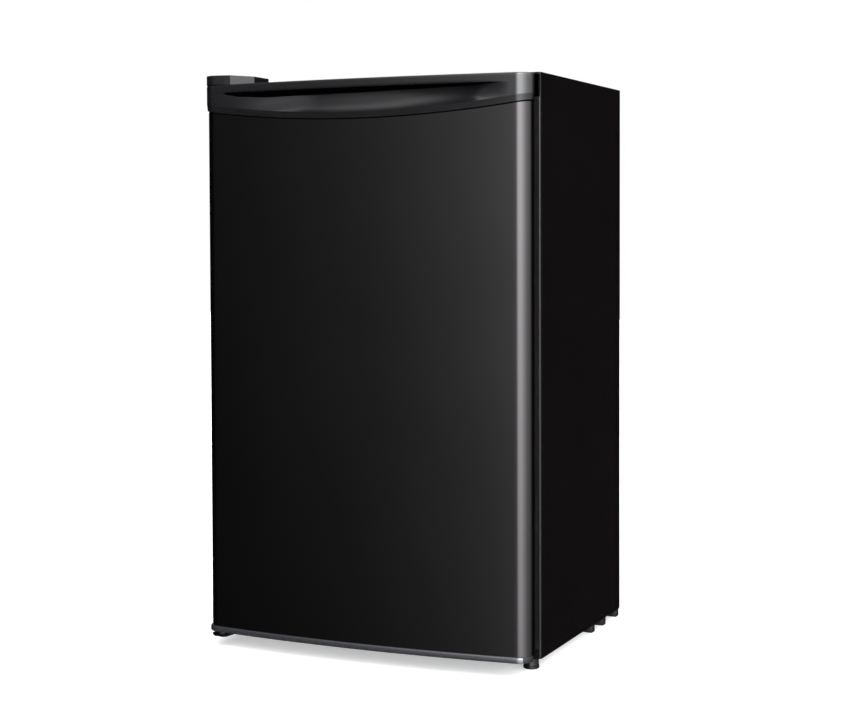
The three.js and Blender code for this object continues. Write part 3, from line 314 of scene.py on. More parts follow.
def relief_group():
    """A fine surface relief from noise stretched along the axes."""
    name = "Fine relief"
    if name in bpy.data.node_groups:
        return bpy.data.node_groups[name]
    group = new_group(name, [
        ("Stretch", "NodeSocketVector", (1.0, 1.0, 1.0)),
        ("Scale", "NodeSocketFloat", 600.0),
        ("Detail", "NodeSocketFloat", 3.0),
        ("Strength", "NodeSocketFloat", 0.2),
        ("Distance", "NodeSocketFloat", 0.0002),
    ], [("Normal", "NodeSocketVector"), ("Mask", "NodeSocketFloat")])
    source, sink = group.nodes["in"], group.nodes["out"]
    place = node(group, "ShaderNodeTexCoord")
    scaled = node(group, "ShaderNodeVectorMath", {0: place.outputs["Object"],
                                                  1: source.outputs["Stretch"]},
                  operation="MULTIPLY")
    grain = node(group, "ShaderNodeTexNoise", {"Vector": scaled.outputs[0],
                                               "Scale": source.outputs["Scale"],
                                               "Detail": source.outputs["Detail"]})
    bump = node(group, "ShaderNodeBump", {"Height": grain.outputs["Fac"],
                                          "Strength": source.outputs["Strength"],
                                          "Distance": source.outputs["Distance"]})
    group.links.new(bump.outputs["Normal"], sink.inputs["Normal"])
    group.links.new(grain.outputs["Fac"], sink.inputs["Mask"])
    return group


def pebble_group():
    """Leather-like pebbled lacquer: soft cells with noise-wavered edges."""
    name = "Pebbled lacquer"
    if name in bpy.data.node_groups:
        return bpy.data.node_groups[name]
    group = new_group(name, [
        ("Scale", "NodeSocketFloat", 420.0),
        ("Strength", "NodeSocketFloat", 0.4),
        ("Distance", "NodeSocketFloat", 0.0004),
    ], [("Normal", "NodeSocketVector"), ("Mask", "NodeSocketFloat")])
    source, sink = group.nodes["in"], group.nodes["out"]
    place = node(group, "ShaderNodeTexCoord")
    warp = node(group, "ShaderNodeTexNoise", {"Vector": place.outputs["Object"],
                                              "Scale": source.outputs["Scale"]}, Detail=2.0)
    shifted = node(group, "ShaderNodeVectorMath", {0: warp.outputs["Color"]}, operation="SCALE")
    shifted.inputs["Scale"].default_value = 0.002
    moved = node(group, "ShaderNodeVectorMath", {0: place.outputs["Object"],
                                                 1: shifted.outputs[0]}, operation="ADD")
    cells = node(group, "ShaderNodeTexVoronoi", {"Vector": moved.outputs[0],
                                                 "Scale": source.outputs["Scale"]},
                 feature="SMOOTH_F1", Smoothness=0.6)
    bump = node(group, "ShaderNodeBump", {"Height": cells.outputs["Distance"],
                                          "Strength": source.outputs["Strength"],
                                          "Distance": source.outputs["Distance"]})
    group.links.new(bump.outputs["Normal"], sink.inputs["Normal"])
    group.links.new(cells.outputs["Distance"], sink.inputs["Mask"])
    return group


def surface(name, base, roughness, metallic=0.0, contrast=0.08, spread=0.05, scale=9.0,
            relief=None, pebble=None, **sockets):
    """A Principled material with uneven tone and an optional relief."""
    if name in bpy.data.materials:
        return bpy.data.materials[name]
    material = bpy.data.materials.new(name)
    material.use_nodes = True
    material.diffuse_color = (*base, 1)
    tree = material.node_tree
    shader = tree.nodes["Principled BSDF"]
    tone = node(tree, "ShaderNodeGroup", node_tree=tone_group())
    tone.inputs["Color"].default_value = (*base, 1)
    tone.inputs["Contrast"].default_value = contrast
    tone.inputs["Roughness"].default_value = roughness
    tone.inputs["Gloss Spread"].default_value = spread
    tone.inputs["Scale"].default_value = scale
    tree.links.new(tone.outputs["Color"], shader.inputs["Base Color"])
    tree.links.new(tone.outputs["Roughness"], shader.inputs["Roughness"])
    for group, values in ((relief_group, relief), (pebble_group, pebble)):
        if values:
            rough = node(tree, "ShaderNodeGroup", node_tree=group())
            for key, value in values.items():
                rough.inputs[key].default_value = value
            tree.links.new(rough.outputs["Normal"], shader.inputs["Normal"])
    shader.inputs["Metallic"].default_value = metallic
    for key, value in sockets.items():
        shader.inputs[key.replace("_", " ")].default_value = value
    return material


def door_settings():
    return bpy.context.scene.fridge_door


def shell_settings():
    return bpy.context.scene.fridge_shell


def inside_settings():
    return bpy.context.scene.fridge_inside


def brushed_black():
    return surface("Brushed black steel", tuple(door_settings().skin_colour), 0.21, 1.0,
                   contrast=0.05, spread=0.04, scale=5.0,
                   relief={"Stretch": (1.0, 1.0, 0.012), "Scale": 1500.0, "Detail": 4.0,
                           "Strength": 0.12, "Distance": 0.0001})


def satin_cap():
    return surface("Satin cap plastic", tuple(door_settings().cap_colour), 0.21, 0.0,
                   contrast=0.06, spread=0.04, Specular_IOR_Level=1.0,
                   relief={"Scale": 1400.0, "Strength": 0.04, "Distance": 0.0001})


def pebbled_black():
    return surface("Pebbled black lacquer", tuple(shell_settings().shell_colour), 0.20, 0.0,
                   contrast=0.25, spread=0.12, scale=14.0,
                   pebble={"Scale": 330.0, "Strength": 0.35, "Distance": 0.0004},
                   Specular_IOR_Level=0.4)


def black_plastic():
    return surface("Black moulded plastic", tuple(shell_settings().plastic_colour), 0.28,
                   relief={"Scale": 900.0, "Strength": 0.08, "Distance": 0.0002})


def dull_black_plastic():
    return surface("Dull black plastic", tuple(shell_settings().plastic_colour), 0.5,
                   relief={"Scale": 1100.0, "Strength": 0.15, "Distance": 0.0002})


# Near-black with almost no reflection: painted shade for the door's recesses and gaps that lie in shadow.
def painted_shade_black():
    return surface("Painted shade black", (0.0006, 0.0006, 0.0006), 0.9, contrast=0.02,
                   IOR=1.05)


def bright_trim():
    return surface("Dark bright trim", tuple(door_settings().trim_colour), 0.24, 0.9,
                   contrast=0.05, spread=0.06,
                   relief={"Stretch": (0.02, 0.02, 1.0), "Scale": 2500.0, "Strength": 0.08,
                           "Distance": 0.0001})


def soft_rubber():
    return surface("Soft black rubber", (0.003, 0.003, 0.003), 0.7, contrast=0.15,
                   relief={"Scale": 1300.0, "Strength": 0.12, "Distance": 0.0002},
                   IOR=1.12)


def white_liner():
    return surface("White polystyrene", tuple(inside_settings().liner_colour), 0.26,
                   contrast=0.03, spread=0.05, scale=4.0,
                   relief={"Scale": 160.0, "Strength": 0.03, "Distance": 0.0006})


def clear_plastic():
    return surface("Clear plastic", tuple(inside_settings().clear_colour), 0.08,
                   contrast=0.03, spread=0.04, Transmission_Weight=0.92, IOR=1.49,
                   relief={"Scale": 60.0, "Strength": 0.03, "Distance": 0.0005})


def shelf_glass():
    return surface("Shelf glass", tuple(inside_settings().glass_colour), 0.03,
                   contrast=0.02, spread=0.02, Transmission_Weight=1.0, IOR=1.5)


def zinc_steel():
    return surface("Zinc-plated steel", (0.50, 0.52, 0.54), 0.38, 0.95, contrast=0.25,
                   spread=0.2, scale=60.0,
                   relief={"Scale": 400.0, "Strength": 0.05, "Distance": 0.0002})


def frosted_aluminium():
    return surface("Roll-bond aluminium", (0.70, 0.71, 0.73), 0.42, 0.9, contrast=0.08,
                   spread=0.12, scale=20.0,
                   relief={"Stretch": (0.05, 1.0, 1.0), "Scale": 700.0, "Strength": 0.08,
                           "Distance": 0.0002})


def copper_pipe():
    return surface("Copper pipe", (0.62, 0.28, 0.15), 0.28, 0.95, contrast=0.3, spread=0.15,
                   scale=45.0, relief={"Scale": 500.0, "Strength": 0.04, "Distance": 0.0002})


def black_enamel():
    return surface("Black enamel", (0.012, 0.012, 0.013), 0.22, contrast=0.15, spread=0.06,
                   relief={"Scale": 220.0, "Strength": 0.08, "Distance": 0.0004})


def yellow_foam():
    return surface("Rigid foam", (0.62, 0.50, 0.26), 0.9, contrast=0.25, scale=120.0,
                   relief={"Scale": 900.0, "Strength": 0.5, "Distance": 0.0006})


SLOT_LOOKS = {
    "side_shell": pebbled_black, "door_metal": brushed_black, "cap_plastic": satin_cap,
    "black_plastic": dull_black_plastic, "bright_trim": bright_trim, "rubber": soft_rubber,
    "white_plastic": white_liner, "clear_plastic": clear_plastic, "shelf_glass": shelf_glass,
    "foam": yellow_foam, "zinc_steel": zinc_steel, "aluminium": frosted_aluminium,
    "copper": copper_pipe, "black_steel": black_enamel,
}


def slot_look(name):
    return SLOT_LOOKS[slot_of(name)]()


# ------------------------------------------------------------------ the door in plan


class DoorPlan:
    """The door seen from above: a bowed front between two round corners."""

    def __init__(self, radius):
        low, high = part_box("door_skin")
        self.radius = radius
        self.half = high.x
        self.rear = high.y
        depth = high.y - low.y
        self.corner = self.half - radius
        self.bow = (self.corner ** 2 + depth ** 2 - radius ** 2) / (2 * (depth - radius))
        self.centre = self.rear - depth + self.bow
        self.tangent = math.atan2(self.rear - self.centre, self.corner)

    def run(self, bm, offset, z, corner_steps=14, bow_steps=96):
        """A row of vertices round the front, from the left rear edge to the right one."""
        start = bm.verts.new((-self.half - offset, self.rear, z))
        turns = (
            ((-self.corner, self.rear, z), -self.tangent, corner_steps),
            ((0, self.centre, z), math.pi + 2 * self.tangent, bow_steps),
            ((self.corner, self.rear, z), -self.tangent, corner_steps),
        )
        last = start
        for centre, angle, steps in turns:
            made = bmesh.ops.spin(bm, geom=[last], cent=centre, axis=Z_AXIS, angle=angle,
                                  steps=steps, use_merge=False)
            last = next(v for v in made["geom_last"] if isinstance(v, bmesh.types.BMVert))
        row, edge = [start], None
        while row[-1] is not last:
            edge = next(e for e in row[-1].link_edges if e is not edge)
            row.append(edge.other_vert(row[-1]))
        return row

    def normal(self, x, y):
        """The outward direction in plan at a point of the outline."""
        if abs(x) > self.corner and y < self.rear + 1e-6:
            side = math.copysign(self.corner, x)
            return Vector((x - side, y - self.rear, 0)).normalized()
        return Vector((x, y - self.centre, 0)).normalized()


def cap_edge():
    """The height of the top cap's curved lower edge, as a function of x."""
    low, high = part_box("door_top_cap")
    end = high.z - door_settings().cap_end_height
    sag = end - low.z
    radius = (high.x ** 2 + sag ** 2) / (2 * sag)
    return lambda x: low.z + radius - math.sqrt(radius ** 2 - x * x)


def shape_door_skin():
    """The bowed steel skin with the flanges that turn in behind it."""
    settings = door_settings()
    plan = DoorPlan(settings.edge_radius)
    arc = cap_edge()
    low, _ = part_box("door_skin")
    sheet = settings.sheet
    bm = bmesh.new()
    outer = plan.run(bm, 0.0, low.z)
    inner = plan.run(bm, -sheet, low.z)
    bm.edges.new((outer[-1], inner[-1]))
    bm.edges.new((inner[0], outer[0]))
    lower = chain_edges(bm, outer) + chain_edges(bm, inner)
    row = outer + inner[::-1]
    for level in (0.004, 0.02, 0.1, 0.3, 0.5, 0.7, 0.9, 0.97, 0.99, 1.0):
        row = raised(bm, row, closed=True)
        for v in row:
            top = arc(v.co.x) - settings.cap_gap
            v.co.z = low.z + (top - low.z) * level
    upper = chain_edges(bm, row[:len(outer)]) + chain_edges(bm, row[len(outer):])
    bmesh.ops.bridge_loops(bm, edges=lower)
    bmesh.ops.bridge_loops(bm, edges=upper)
    set_outward(bm)
    hem = [e for e in bm.edges if min(v.co.y for v in e.verts) > plan.rear - 1e-5
           and abs(e.verts[0].co.z - e.verts[1].co.z) > 1e-5]
    soften(bm, settings.sheet * 0.4, 3, edges=hem)
    for side in (-1, 1):
        start, end = sorted((side * (plan.half - sheet), side * (plan.half - settings.flange)))
        block(bm, (start, plan.rear - sheet, low.z), (end, plan.rear, arc(end) - 4 * MM))
    return finished("door_skin_finish", bm, brushed_black(), "door", ["door_skin"],
                    smooth=30)


# Share of the slit's full height along the bar, from its left end to its right end.
SLIT_RUN = ((0.0, 0.0), (0.03, 0.45), (0.07, 0.76), (0.17, 1.0), (0.28, 0.88), (0.47, 0.77),
            (0.67, 0.57), (0.83, 0.38), (0.94, 0.14), (0.985, 0.0), (1.0, 0.0))


def eased(value):
    value = min(1.0, max(0.0, value))
    return value * value * (3 - 2 * value)


def pocket_share(x):
    """How fully the scooped face is sunk at x, from 0 to 1."""
    settings = door_settings()
    left = eased((x + settings.pocket_left) / settings.pocket_taper)
    right = eased((settings.pocket_right - x) / (settings.pocket_taper * 0.4))
    return left * right


def slit_share(x):
    """Share of the slit's full height at x."""
    settings = door_settings()
    run = (x + settings.pocket_left) / (settings.pocket_left + settings.pocket_right)
    run = min(1.0, max(0.0, run))
    for (a, first), (b, second) in zip(SLIT_RUN, SLIT_RUN[1:]):
        if a <= run <= b:
            return first + (second - first) * eased((run - a) / (b - a))
    return 0.0


# Rows of the section that lie behind the skin or inside the slit; they take the near-black painted shade.
SHADED_ROWS = (0, 1, 2, 3, 22, 23, 24, 25, 26)


def cap_section(x, top, edge):
    """The cap's section at x, as (depth behind the front face, height) from below upwards."""
    s = door_settings()
    share = pocket_share(x)
    slit = s.slit_height * slit_share(x)
    hollow = min(1.0, slit / (2.5 * MM))
    crease = edge + s.crease_height
    lip = top - s.lip_height
    scoop_top = lip - slit
    sunk = s.scoop_depth * share
    tongue, under = s.tongue_depth, s.cap_underside
    section = [(tongue, edge - 4.0 * MM), (tongue, edge + 0.6 * MM),
               (under, edge + 0.6 * MM), (under, edge), (1.7 * MM, edge + 0.02 * MM),
               (1.3 * MM, edge + 0.35 * MM), (1.1 * MM, edge + 1.1 * MM),
               (0.35 * MM, crease - 1.3 * MM), (0.08 * MM, crease - 0.4 * MM), (0.0, crease)]
    steps = 12
    for i in range(1, steps + 1):
        t = i / steps
        depth = sunk * (1 - (1 - t) ** 1.25)
        section.append((depth, crease + (scoop_top - crease) * (0.35 * t * t + 0.65 * t)))
    deep = sunk + s.finger_room * hollow
    behind = s.bar_thickness * hollow
    roof = lip + 5 * MM * hollow
    section += [
        (sunk + 1.0 * MM * hollow, scoop_top),
        (deep, scoop_top - 2.5 * MM * hollow), (deep, roof), (behind, roof),
        (behind, lip + 1.2 * MM * hollow),
        (3.6 * MM * hollow, lip + 0.25 * MM * hollow),
        (2.4 * MM * hollow, lip), (1.2 * MM * hollow, lip + 0.1 * MM * hollow),
        (0.4 * MM * hollow, lip + 0.5 * MM * hollow), (0.0, lip + 1.4 * MM),
        (0.0, lip + 4 * MM), (0.0, top - 4 * MM),
    ]
    rounding = s.cap_rounding
    for i in range(1, 7):
        turn = i / 6 * math.pi / 2
        section.append((rounding * (1 - math.cos(turn)), top - rounding * (1 - math.sin(turn))))
    return section


def shape_top_cap():
    """The moulded cap with its bar, slit and scooped handle face; the tongue behind the skin and the slit's inside
    are painted near-black as shade.
    """
    settings = door_settings()
    plan = DoorPlan(settings.edge_radius)
    low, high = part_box("door_top_cap")
    offset = settings.cap_overhang
    bm = bmesh.new()
    row = plan.run(bm, offset, low.z, corner_steps=18, bow_steps=180)
    base = [(v.co.copy(), plan.normal(v.co.x, v.co.y)) for v in row]
    arc = cap_edge()
    sections = [cap_section(point.x, high.z, arc(point.x)) for point, _ in base]
    for v, (point, _), section in zip(row, base, sections):
        v.co = (point.x, plan.rear, section[0][1])
    for k in range(len(sections[0])):
        row = raised(bm, row)
        for edge in chain_edges(bm, row):
            # rows behind the skin and inside the slit get the second material: near-black painted shade for the
            # shadow there
            edge.link_faces[0].material_index = 1 if k in SHADED_ROWS else 0
        for v, (point, normal), section in zip(row, base, sections):
            depth, height = section[k]
            spot = point - normal * depth
            v.co = (spot.x, min(spot.y, plan.rear), height)
    row = raised(bm, row)
    for v in row:
        v.co.y = plan.rear
    bmesh.ops.remove_doubles(bm, verts=bm.verts, dist=1e-6)
    bmesh.ops.dissolve_degenerate(bm, edges=bm.edges, dist=1e-6)
    rim = [e for e in bm.edges if len(e.link_faces) == 1]
    bmesh.ops.holes_fill(bm, edges=rim, sides=0)
    set_outward(bm)
    return finished("door_top_cap_finish", bm, [satin_cap(), painted_shade_black()], "door",
                    ["door_top_cap", "door_handle_bar"], smooth=32)


def shape_bottom_cap():
    """The black end cap under the skin."""
    plan = DoorPlan(door_settings().edge_radius)
    low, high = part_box("door_bottom_cap")
    skin_low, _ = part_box("door_skin")
    bm = bmesh.new()
    row = plan.run(bm, 0.0, low.z)
    face = bmesh.ops.contextual_create(bm, geom=row)["faces"]
    if not face:
        face = [bm.faces.new(row)]
    made = bmesh.ops.extrude_face_region(bm, geom=face)["geom"]
    lifted = [v for v in made if isinstance(v, bmesh.types.BMVert)]
    bmesh.ops.translate(bm, verts=lifted, vec=(0, 0, skin_low.z - 0.3 * MM - low.z))
    set_outward(bm)
    soften(bm, 0.8 * MM, 2, angle=45)
    hinge = next(j for j in frame["joints"] if j["name"] == "door_hinge")["pos_m"]
    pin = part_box("door_bushing_bottom")[1].x - hinge[0]
    rod(bm, (hinge[0], hinge[1], skin_low.z - 2 * MM), (hinge[0], hinge[1], high.z), pin, 32)
    return finished("door_bottom_cap_finish", bm, dull_black_plastic(), "door",
                    ["door_bottom_cap"])


def shape_trim_strip():
    """The bright strip along the door's lower edge: a shallow crowned bar."""
    plan = DoorPlan(door_settings().edge_radius)
    low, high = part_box("door_trim_strip")
    reach = -low.y - (-(plan.centre - plan.bow))
    bm = bmesh.new()
    row = plan.run(bm, reach, low.z)
    base = [(v.co.copy(), plan.normal(v.co.x, v.co.y)) for v in row]
    inside = [i for i, (point, _) in enumerate(base) if point.x <= high.x
              and not (point.x < 0 and point.y > low.y + 0.0305)]
    first, last = inside[0], inside[-1]
    bmesh.ops.delete(bm, geom=row[:first] + row[last + 1:], context="VERTS")
    row, base = row[first:last + 1], base[first:last + 1]
    tall = high.z - low.z
    thick = 2.2 * MM
    section = [(thick, 0.0), (0.7 * MM, 0.0), (0.25 * MM, 0.25 * MM), (0.05 * MM, 0.9 * MM),
               (0.0, tall * 0.35), (0.05 * MM, tall * 0.62), (0.3 * MM, tall * 0.80),
               (0.8 * MM, tall * 0.93), (1.3 * MM, tall * 0.99), (thick, tall)]
    rows = [row]
    for k, (depth, height) in enumerate(section):
        if k:
            row = raised(bm, row)
            rows.append(row)
        for v, (point, normal) in zip(row, base):
            spot = point - normal * depth
            v.co = (spot.x, spot.y, low.z + height)
    bmesh.ops.bridge_loops(bm, edges=chain_edges(bm, rows[-1]) + chain_edges(bm, rows[0]))
    rim = [e for e in bm.edges if len(e.link_faces) == 1]
    bmesh.ops.holes_fill(bm, edges=rim, sides=0)
    set_outward(bm)
    return finished("door_trim_strip_finish", bm, bright_trim(), "door", ["door_trim_strip"],
                    smooth=40)


# ------------------------------------------------------------------ the cabinet's shell


def shape_side(side):
    """A folded side sheet: front flange, round fold, flat side and rear flange."""
    settings = shell_settings()
    name = "side_panel_left" if side < 0 else "side_panel_right"
    low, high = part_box(name)
    sheet, fold = settings.sheet, settings.fold_radius
    outer = high.x if side > 0 else -low.x
    inner = low.x if side > 0 else -high.x
    mid = sheet / 2
    bm = bmesh.new()
    start = bm.verts.new((inner, low.y + mid, low.z))
    near = bmesh.ops.extrude_vert_indiv(bm, verts=[start])["verts"]
    bmesh.ops.translate(bm, verts=near, vec=(outer - fold - inner, 0, 0))
    made = bmesh.ops.spin(bm, geom=near, cent=(outer - fold, low.y + fold, low.z), axis=Z_AXIS,
                          angle=math.pi / 2, steps=8, use_merge=False)["geom_last"]
    tip = [v for v in made if isinstance(v, bmesh.types.BMVert)]
    for step in ((0, high.y - low.y - fold - mid, 0), (-14 * MM, 0, 0)):
        tip = bmesh.ops.extrude_vert_indiv(bm, verts=tip)["verts"]
        bmesh.ops.translate(bm, verts=tip, vec=step)
    made = bmesh.ops.extrude_edge_only(bm, edges=bm.edges[:])["geom"]
    lifted = [v for v in made if isinstance(v, bmesh.types.BMVert)]
    bmesh.ops.translate(bm, verts=lifted, vec=(0, 0, high.z - low.z))
    if side < 0:
        bmesh.ops.scale(bm, verts=bm.verts, vec=(-1, 1, 1))
    set_outward(bm)
    bmesh.ops.solidify(bm, geom=bm.faces[:], thickness=sheet)
    set_outward(bm)
    cuts = [e for e in bm.edges if e.calc_length() > 0.3 and abs(e.verts[0].co.z - e.verts[1].co.z)
            > 0.3]
    bmesh.ops.subdivide_edges(bm, edges=cuts, cuts=3)
    return finished(f"{name}_finish", bm, pebbled_black(), "cabinet", [name],
                    smooth=30)


def shape_top():
    """The top sheet with its round front fold."""
    settings = shell_settings()
    low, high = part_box("top_panel")
    sheet, fold = settings.sheet, settings.fold_radius
    mid = sheet / 2
    half = high.x
    bm = bmesh.new()
    start = bm.verts.new((-half, low.y + mid, low.z))
    near = bmesh.ops.extrude_vert_indiv(bm, verts=[start])["verts"]
    bmesh.ops.translate(bm, verts=near, vec=(0, 0, high.z - low.z - fold))
    made = bmesh.ops.spin(bm, geom=near, cent=(-half, low.y + fold, high.z - fold),
                          axis=(1, 0, 0), angle=-math.pi / 2, steps=8,
                          use_merge=False)["geom_last"]
    tip = [v for v in made if isinstance(v, bmesh.types.BMVert)]
    tip = bmesh.ops.extrude_vert_indiv(bm, verts=tip)["verts"]
    bmesh.ops.translate(bm, verts=tip, vec=(0, high.y - low.y - fold - mid, 0))
    made = bmesh.ops.extrude_edge_only(bm, edges=bm.edges[:])["geom"]
    lifted = [v for v in made if isinstance(v, bmesh.types.BMVert)]
    bmesh.ops.translate(bm, verts=lifted, vec=(2 * half, 0, 0))
    set_outward(bm)
    bmesh.ops.solidify(bm, geom=bm.faces[:], thickness=sheet)
    set_outward(bm)
    return finished("top_panel_finish", bm, pebbled_black(), "cabinet", ["top_panel"],
                    smooth=30)


def shape_hinge_cover():
    """The rounded lid over the upper hinge, flush with the door's cap."""
    bm = merged_copy("top_hinge_cover")
    low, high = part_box("top_hinge_cover")
    upper = [e for e in sharp_edges(bm, 20) if min(v.co.z for v in e.verts) > high.z - 4 * MM
             and (min(v.co.x for v in e.verts) < low.x + 0.5 * MM
                  or min(v.co.y for v in e.verts) < low.y + 6 * MM
                  or max(v.co.x for v in e.verts) > high.x - 22 * MM)]
    soften(bm, 0.5 * MM, 1, edges=upper)
    return finished("top_hinge_cover_finish", bm, satin_cap(), "cabinet", ["top_hinge_cover"],
                    smooth=25)


def shape_door_liner():
    """The door's inner sheet: white inside the seal; its rim outside the seal is painted shade in near-black."""
    bm = merged_copy("door_liner")
    soften(bm, 3 * MM, 3, angle=45)
    seal_low, seal_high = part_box("door_gasket")
    for face in bm.faces:
        spot = face.calc_center_median()
        inside = seal_low.x < spot.x < seal_high.x and seal_low.z < spot.z < seal_high.z
        # faces outside the seal take near-black painted shade, for the shadowed gap between door and cabinet
        face.material_index = 0 if inside and spot.y > seal_low.y - 2 * MM else 1
    return finished("door_liner_finish", bm, [white_liner(), painted_shade_black()], "door",
                    ["door_liner"], smooth=40)


def shape_gasket():
    """The seal: a ring of soft bellows round a magnet strip."""
    low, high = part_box("door_gasket")
    width = 16 * MM
    depth = high.y - low.y
    section = [(0.0, 0.35), (0.0, 0.62), (0.06, 0.72), (0.02, 0.80), (0.0, 0.90), (0.05, 1.0),
               (0.5, 1.0), (0.94, 1.0), (1.0, 0.92), (0.98, 0.82), (0.93, 0.75), (0.98, 0.66),
               (0.98, 0.45), (0.90, 0.38), (0.90, 0.0), (0.12, 0.0), (0.12, 0.30)]
    bm = bmesh.new()
    rows = []
    for across, along in section:
        inset = across * width
        y = low.y + along * depth
        corners = ((low.x + inset, low.z + inset), (high.x - inset, low.z + inset),
                   (high.x - inset, high.z - inset), (low.x + inset, high.z - inset))
        ring = [bm.verts.new((x, y, z)) for x, z in corners]
        rows.append([bm.edges.new(pair) for pair in zip(ring, ring[1:] + ring[:1])])
    for first, second in zip(rows, rows[1:] + rows[:1]):
        bmesh.ops.bridge_loops(bm, edges=first + second)
    set_outward(bm)
    return finished("door_gasket_finish", bm, soft_rubber(), "door", ["door_gasket"],
                    smooth=30)


def shape_front_foot(name):
    """A glossy levelling foot: a round head and its threaded stud."""
    low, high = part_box(name)
    centre = ((low.x + high.x) / 2, (low.y + high.y) / 2)
    radius = (high.x - low.x) / 2
    tall = shell_settings().foot_head
    profile = [(0, low.z), (radius * 0.78, low.z), (radius * 0.90, low.z + 0.4 * MM),
               (radius * 0.97, low.z + 1.2 * MM), (radius, low.z + 2.2 * MM),
               (radius, low.z + 4.4 * MM), (radius * 0.93, low.z + 5.0 * MM),
               (radius * 0.93, low.z + tall - 2.4 * MM), (radius * 0.97, low.z + tall - 1.8 * MM),
               (radius * 0.97, low.z + tall - 0.8 * MM), (radius * 0.92, low.z + tall),
               (radius * 0.5, low.z + tall)]
    stud = 4 * MM
    head = profile[-1][1]
    profile.append((stud, head))
    z, turn = head, 0
    while z < high.z - 1.6 * MM:
        z += 0.6 * MM
        turn += 1
        profile.append((stud * (0.88 if turn % 2 else 1.0), z))
    profile += [(stud * 0.75, high.z), (0, high.z)]
    bm = bmesh.new()
    turned(bm, profile, centre, 64)
    set_outward(bm)
    return finished(f"{name}_finish", bm, black_plastic(), body_of(name), [name],
                    smooth=35)


# ------------------------------------------------------------------ operators


class FRIDGE_OT_door(bpy.types.Operator):
    """Builds the door: skin, caps and trim"""

    bl_idname = "fridge.door"
    bl_label = "Door"

    def execute(self, context):
        shape_door_skin()
        shape_top_cap()
        shape_bottom_cap()
        shape_trim_strip()
        shape_door_liner()
        shape_gasket()
        return {"FINISHED"}


class FRIDGE_OT_shell(bpy.types.Operator):
    """Builds the cabinet's sheets"""

    bl_idname = "fridge.shell"
    bl_label = "Shell"

    def execute(self, context):
        shape_side(-1)
        shape_side(1)
        shape_top()
        shape_hinge_cover()
        for name in ("front_foot_left", "front_foot_right"):
            shape_front_foot(name)
        return {"FINISHED"}


class FRIDGE_OT_rest(bpy.types.Operator):
    """Rounds the edges of every other piece and gives it its finish"""

    bl_idname = "fridge.rest"
    bl_label = "Other pieces"

    def execute(self, context):
        for name, obj in frame["nodes"].items():
            if obj.hide_render:
                continue
            softened(name, slot_look(name), 0.5 * MM)
        return {"FINISHED"}


def aimed(obj, place, target):
    obj.location = place
    obj.rotation_euler = (Vector(target) - Vector(place)).to_track_quat("-Z", "Y").to_euler()


def panel_light(name, place, target, size_x, size_y, power, tint=(1, 1, 1)):
    light = bpy.data.lights.new(name, "AREA")
    light.shape = "RECTANGLE"
    light.size, light.size_y = size_x, size_y
    light.energy = power
    light.color = tint
    obj = bpy.data.objects.new(name, light)
    bpy.context.scene.collection.objects.link(obj)
    aimed(obj, place, target)
    return obj


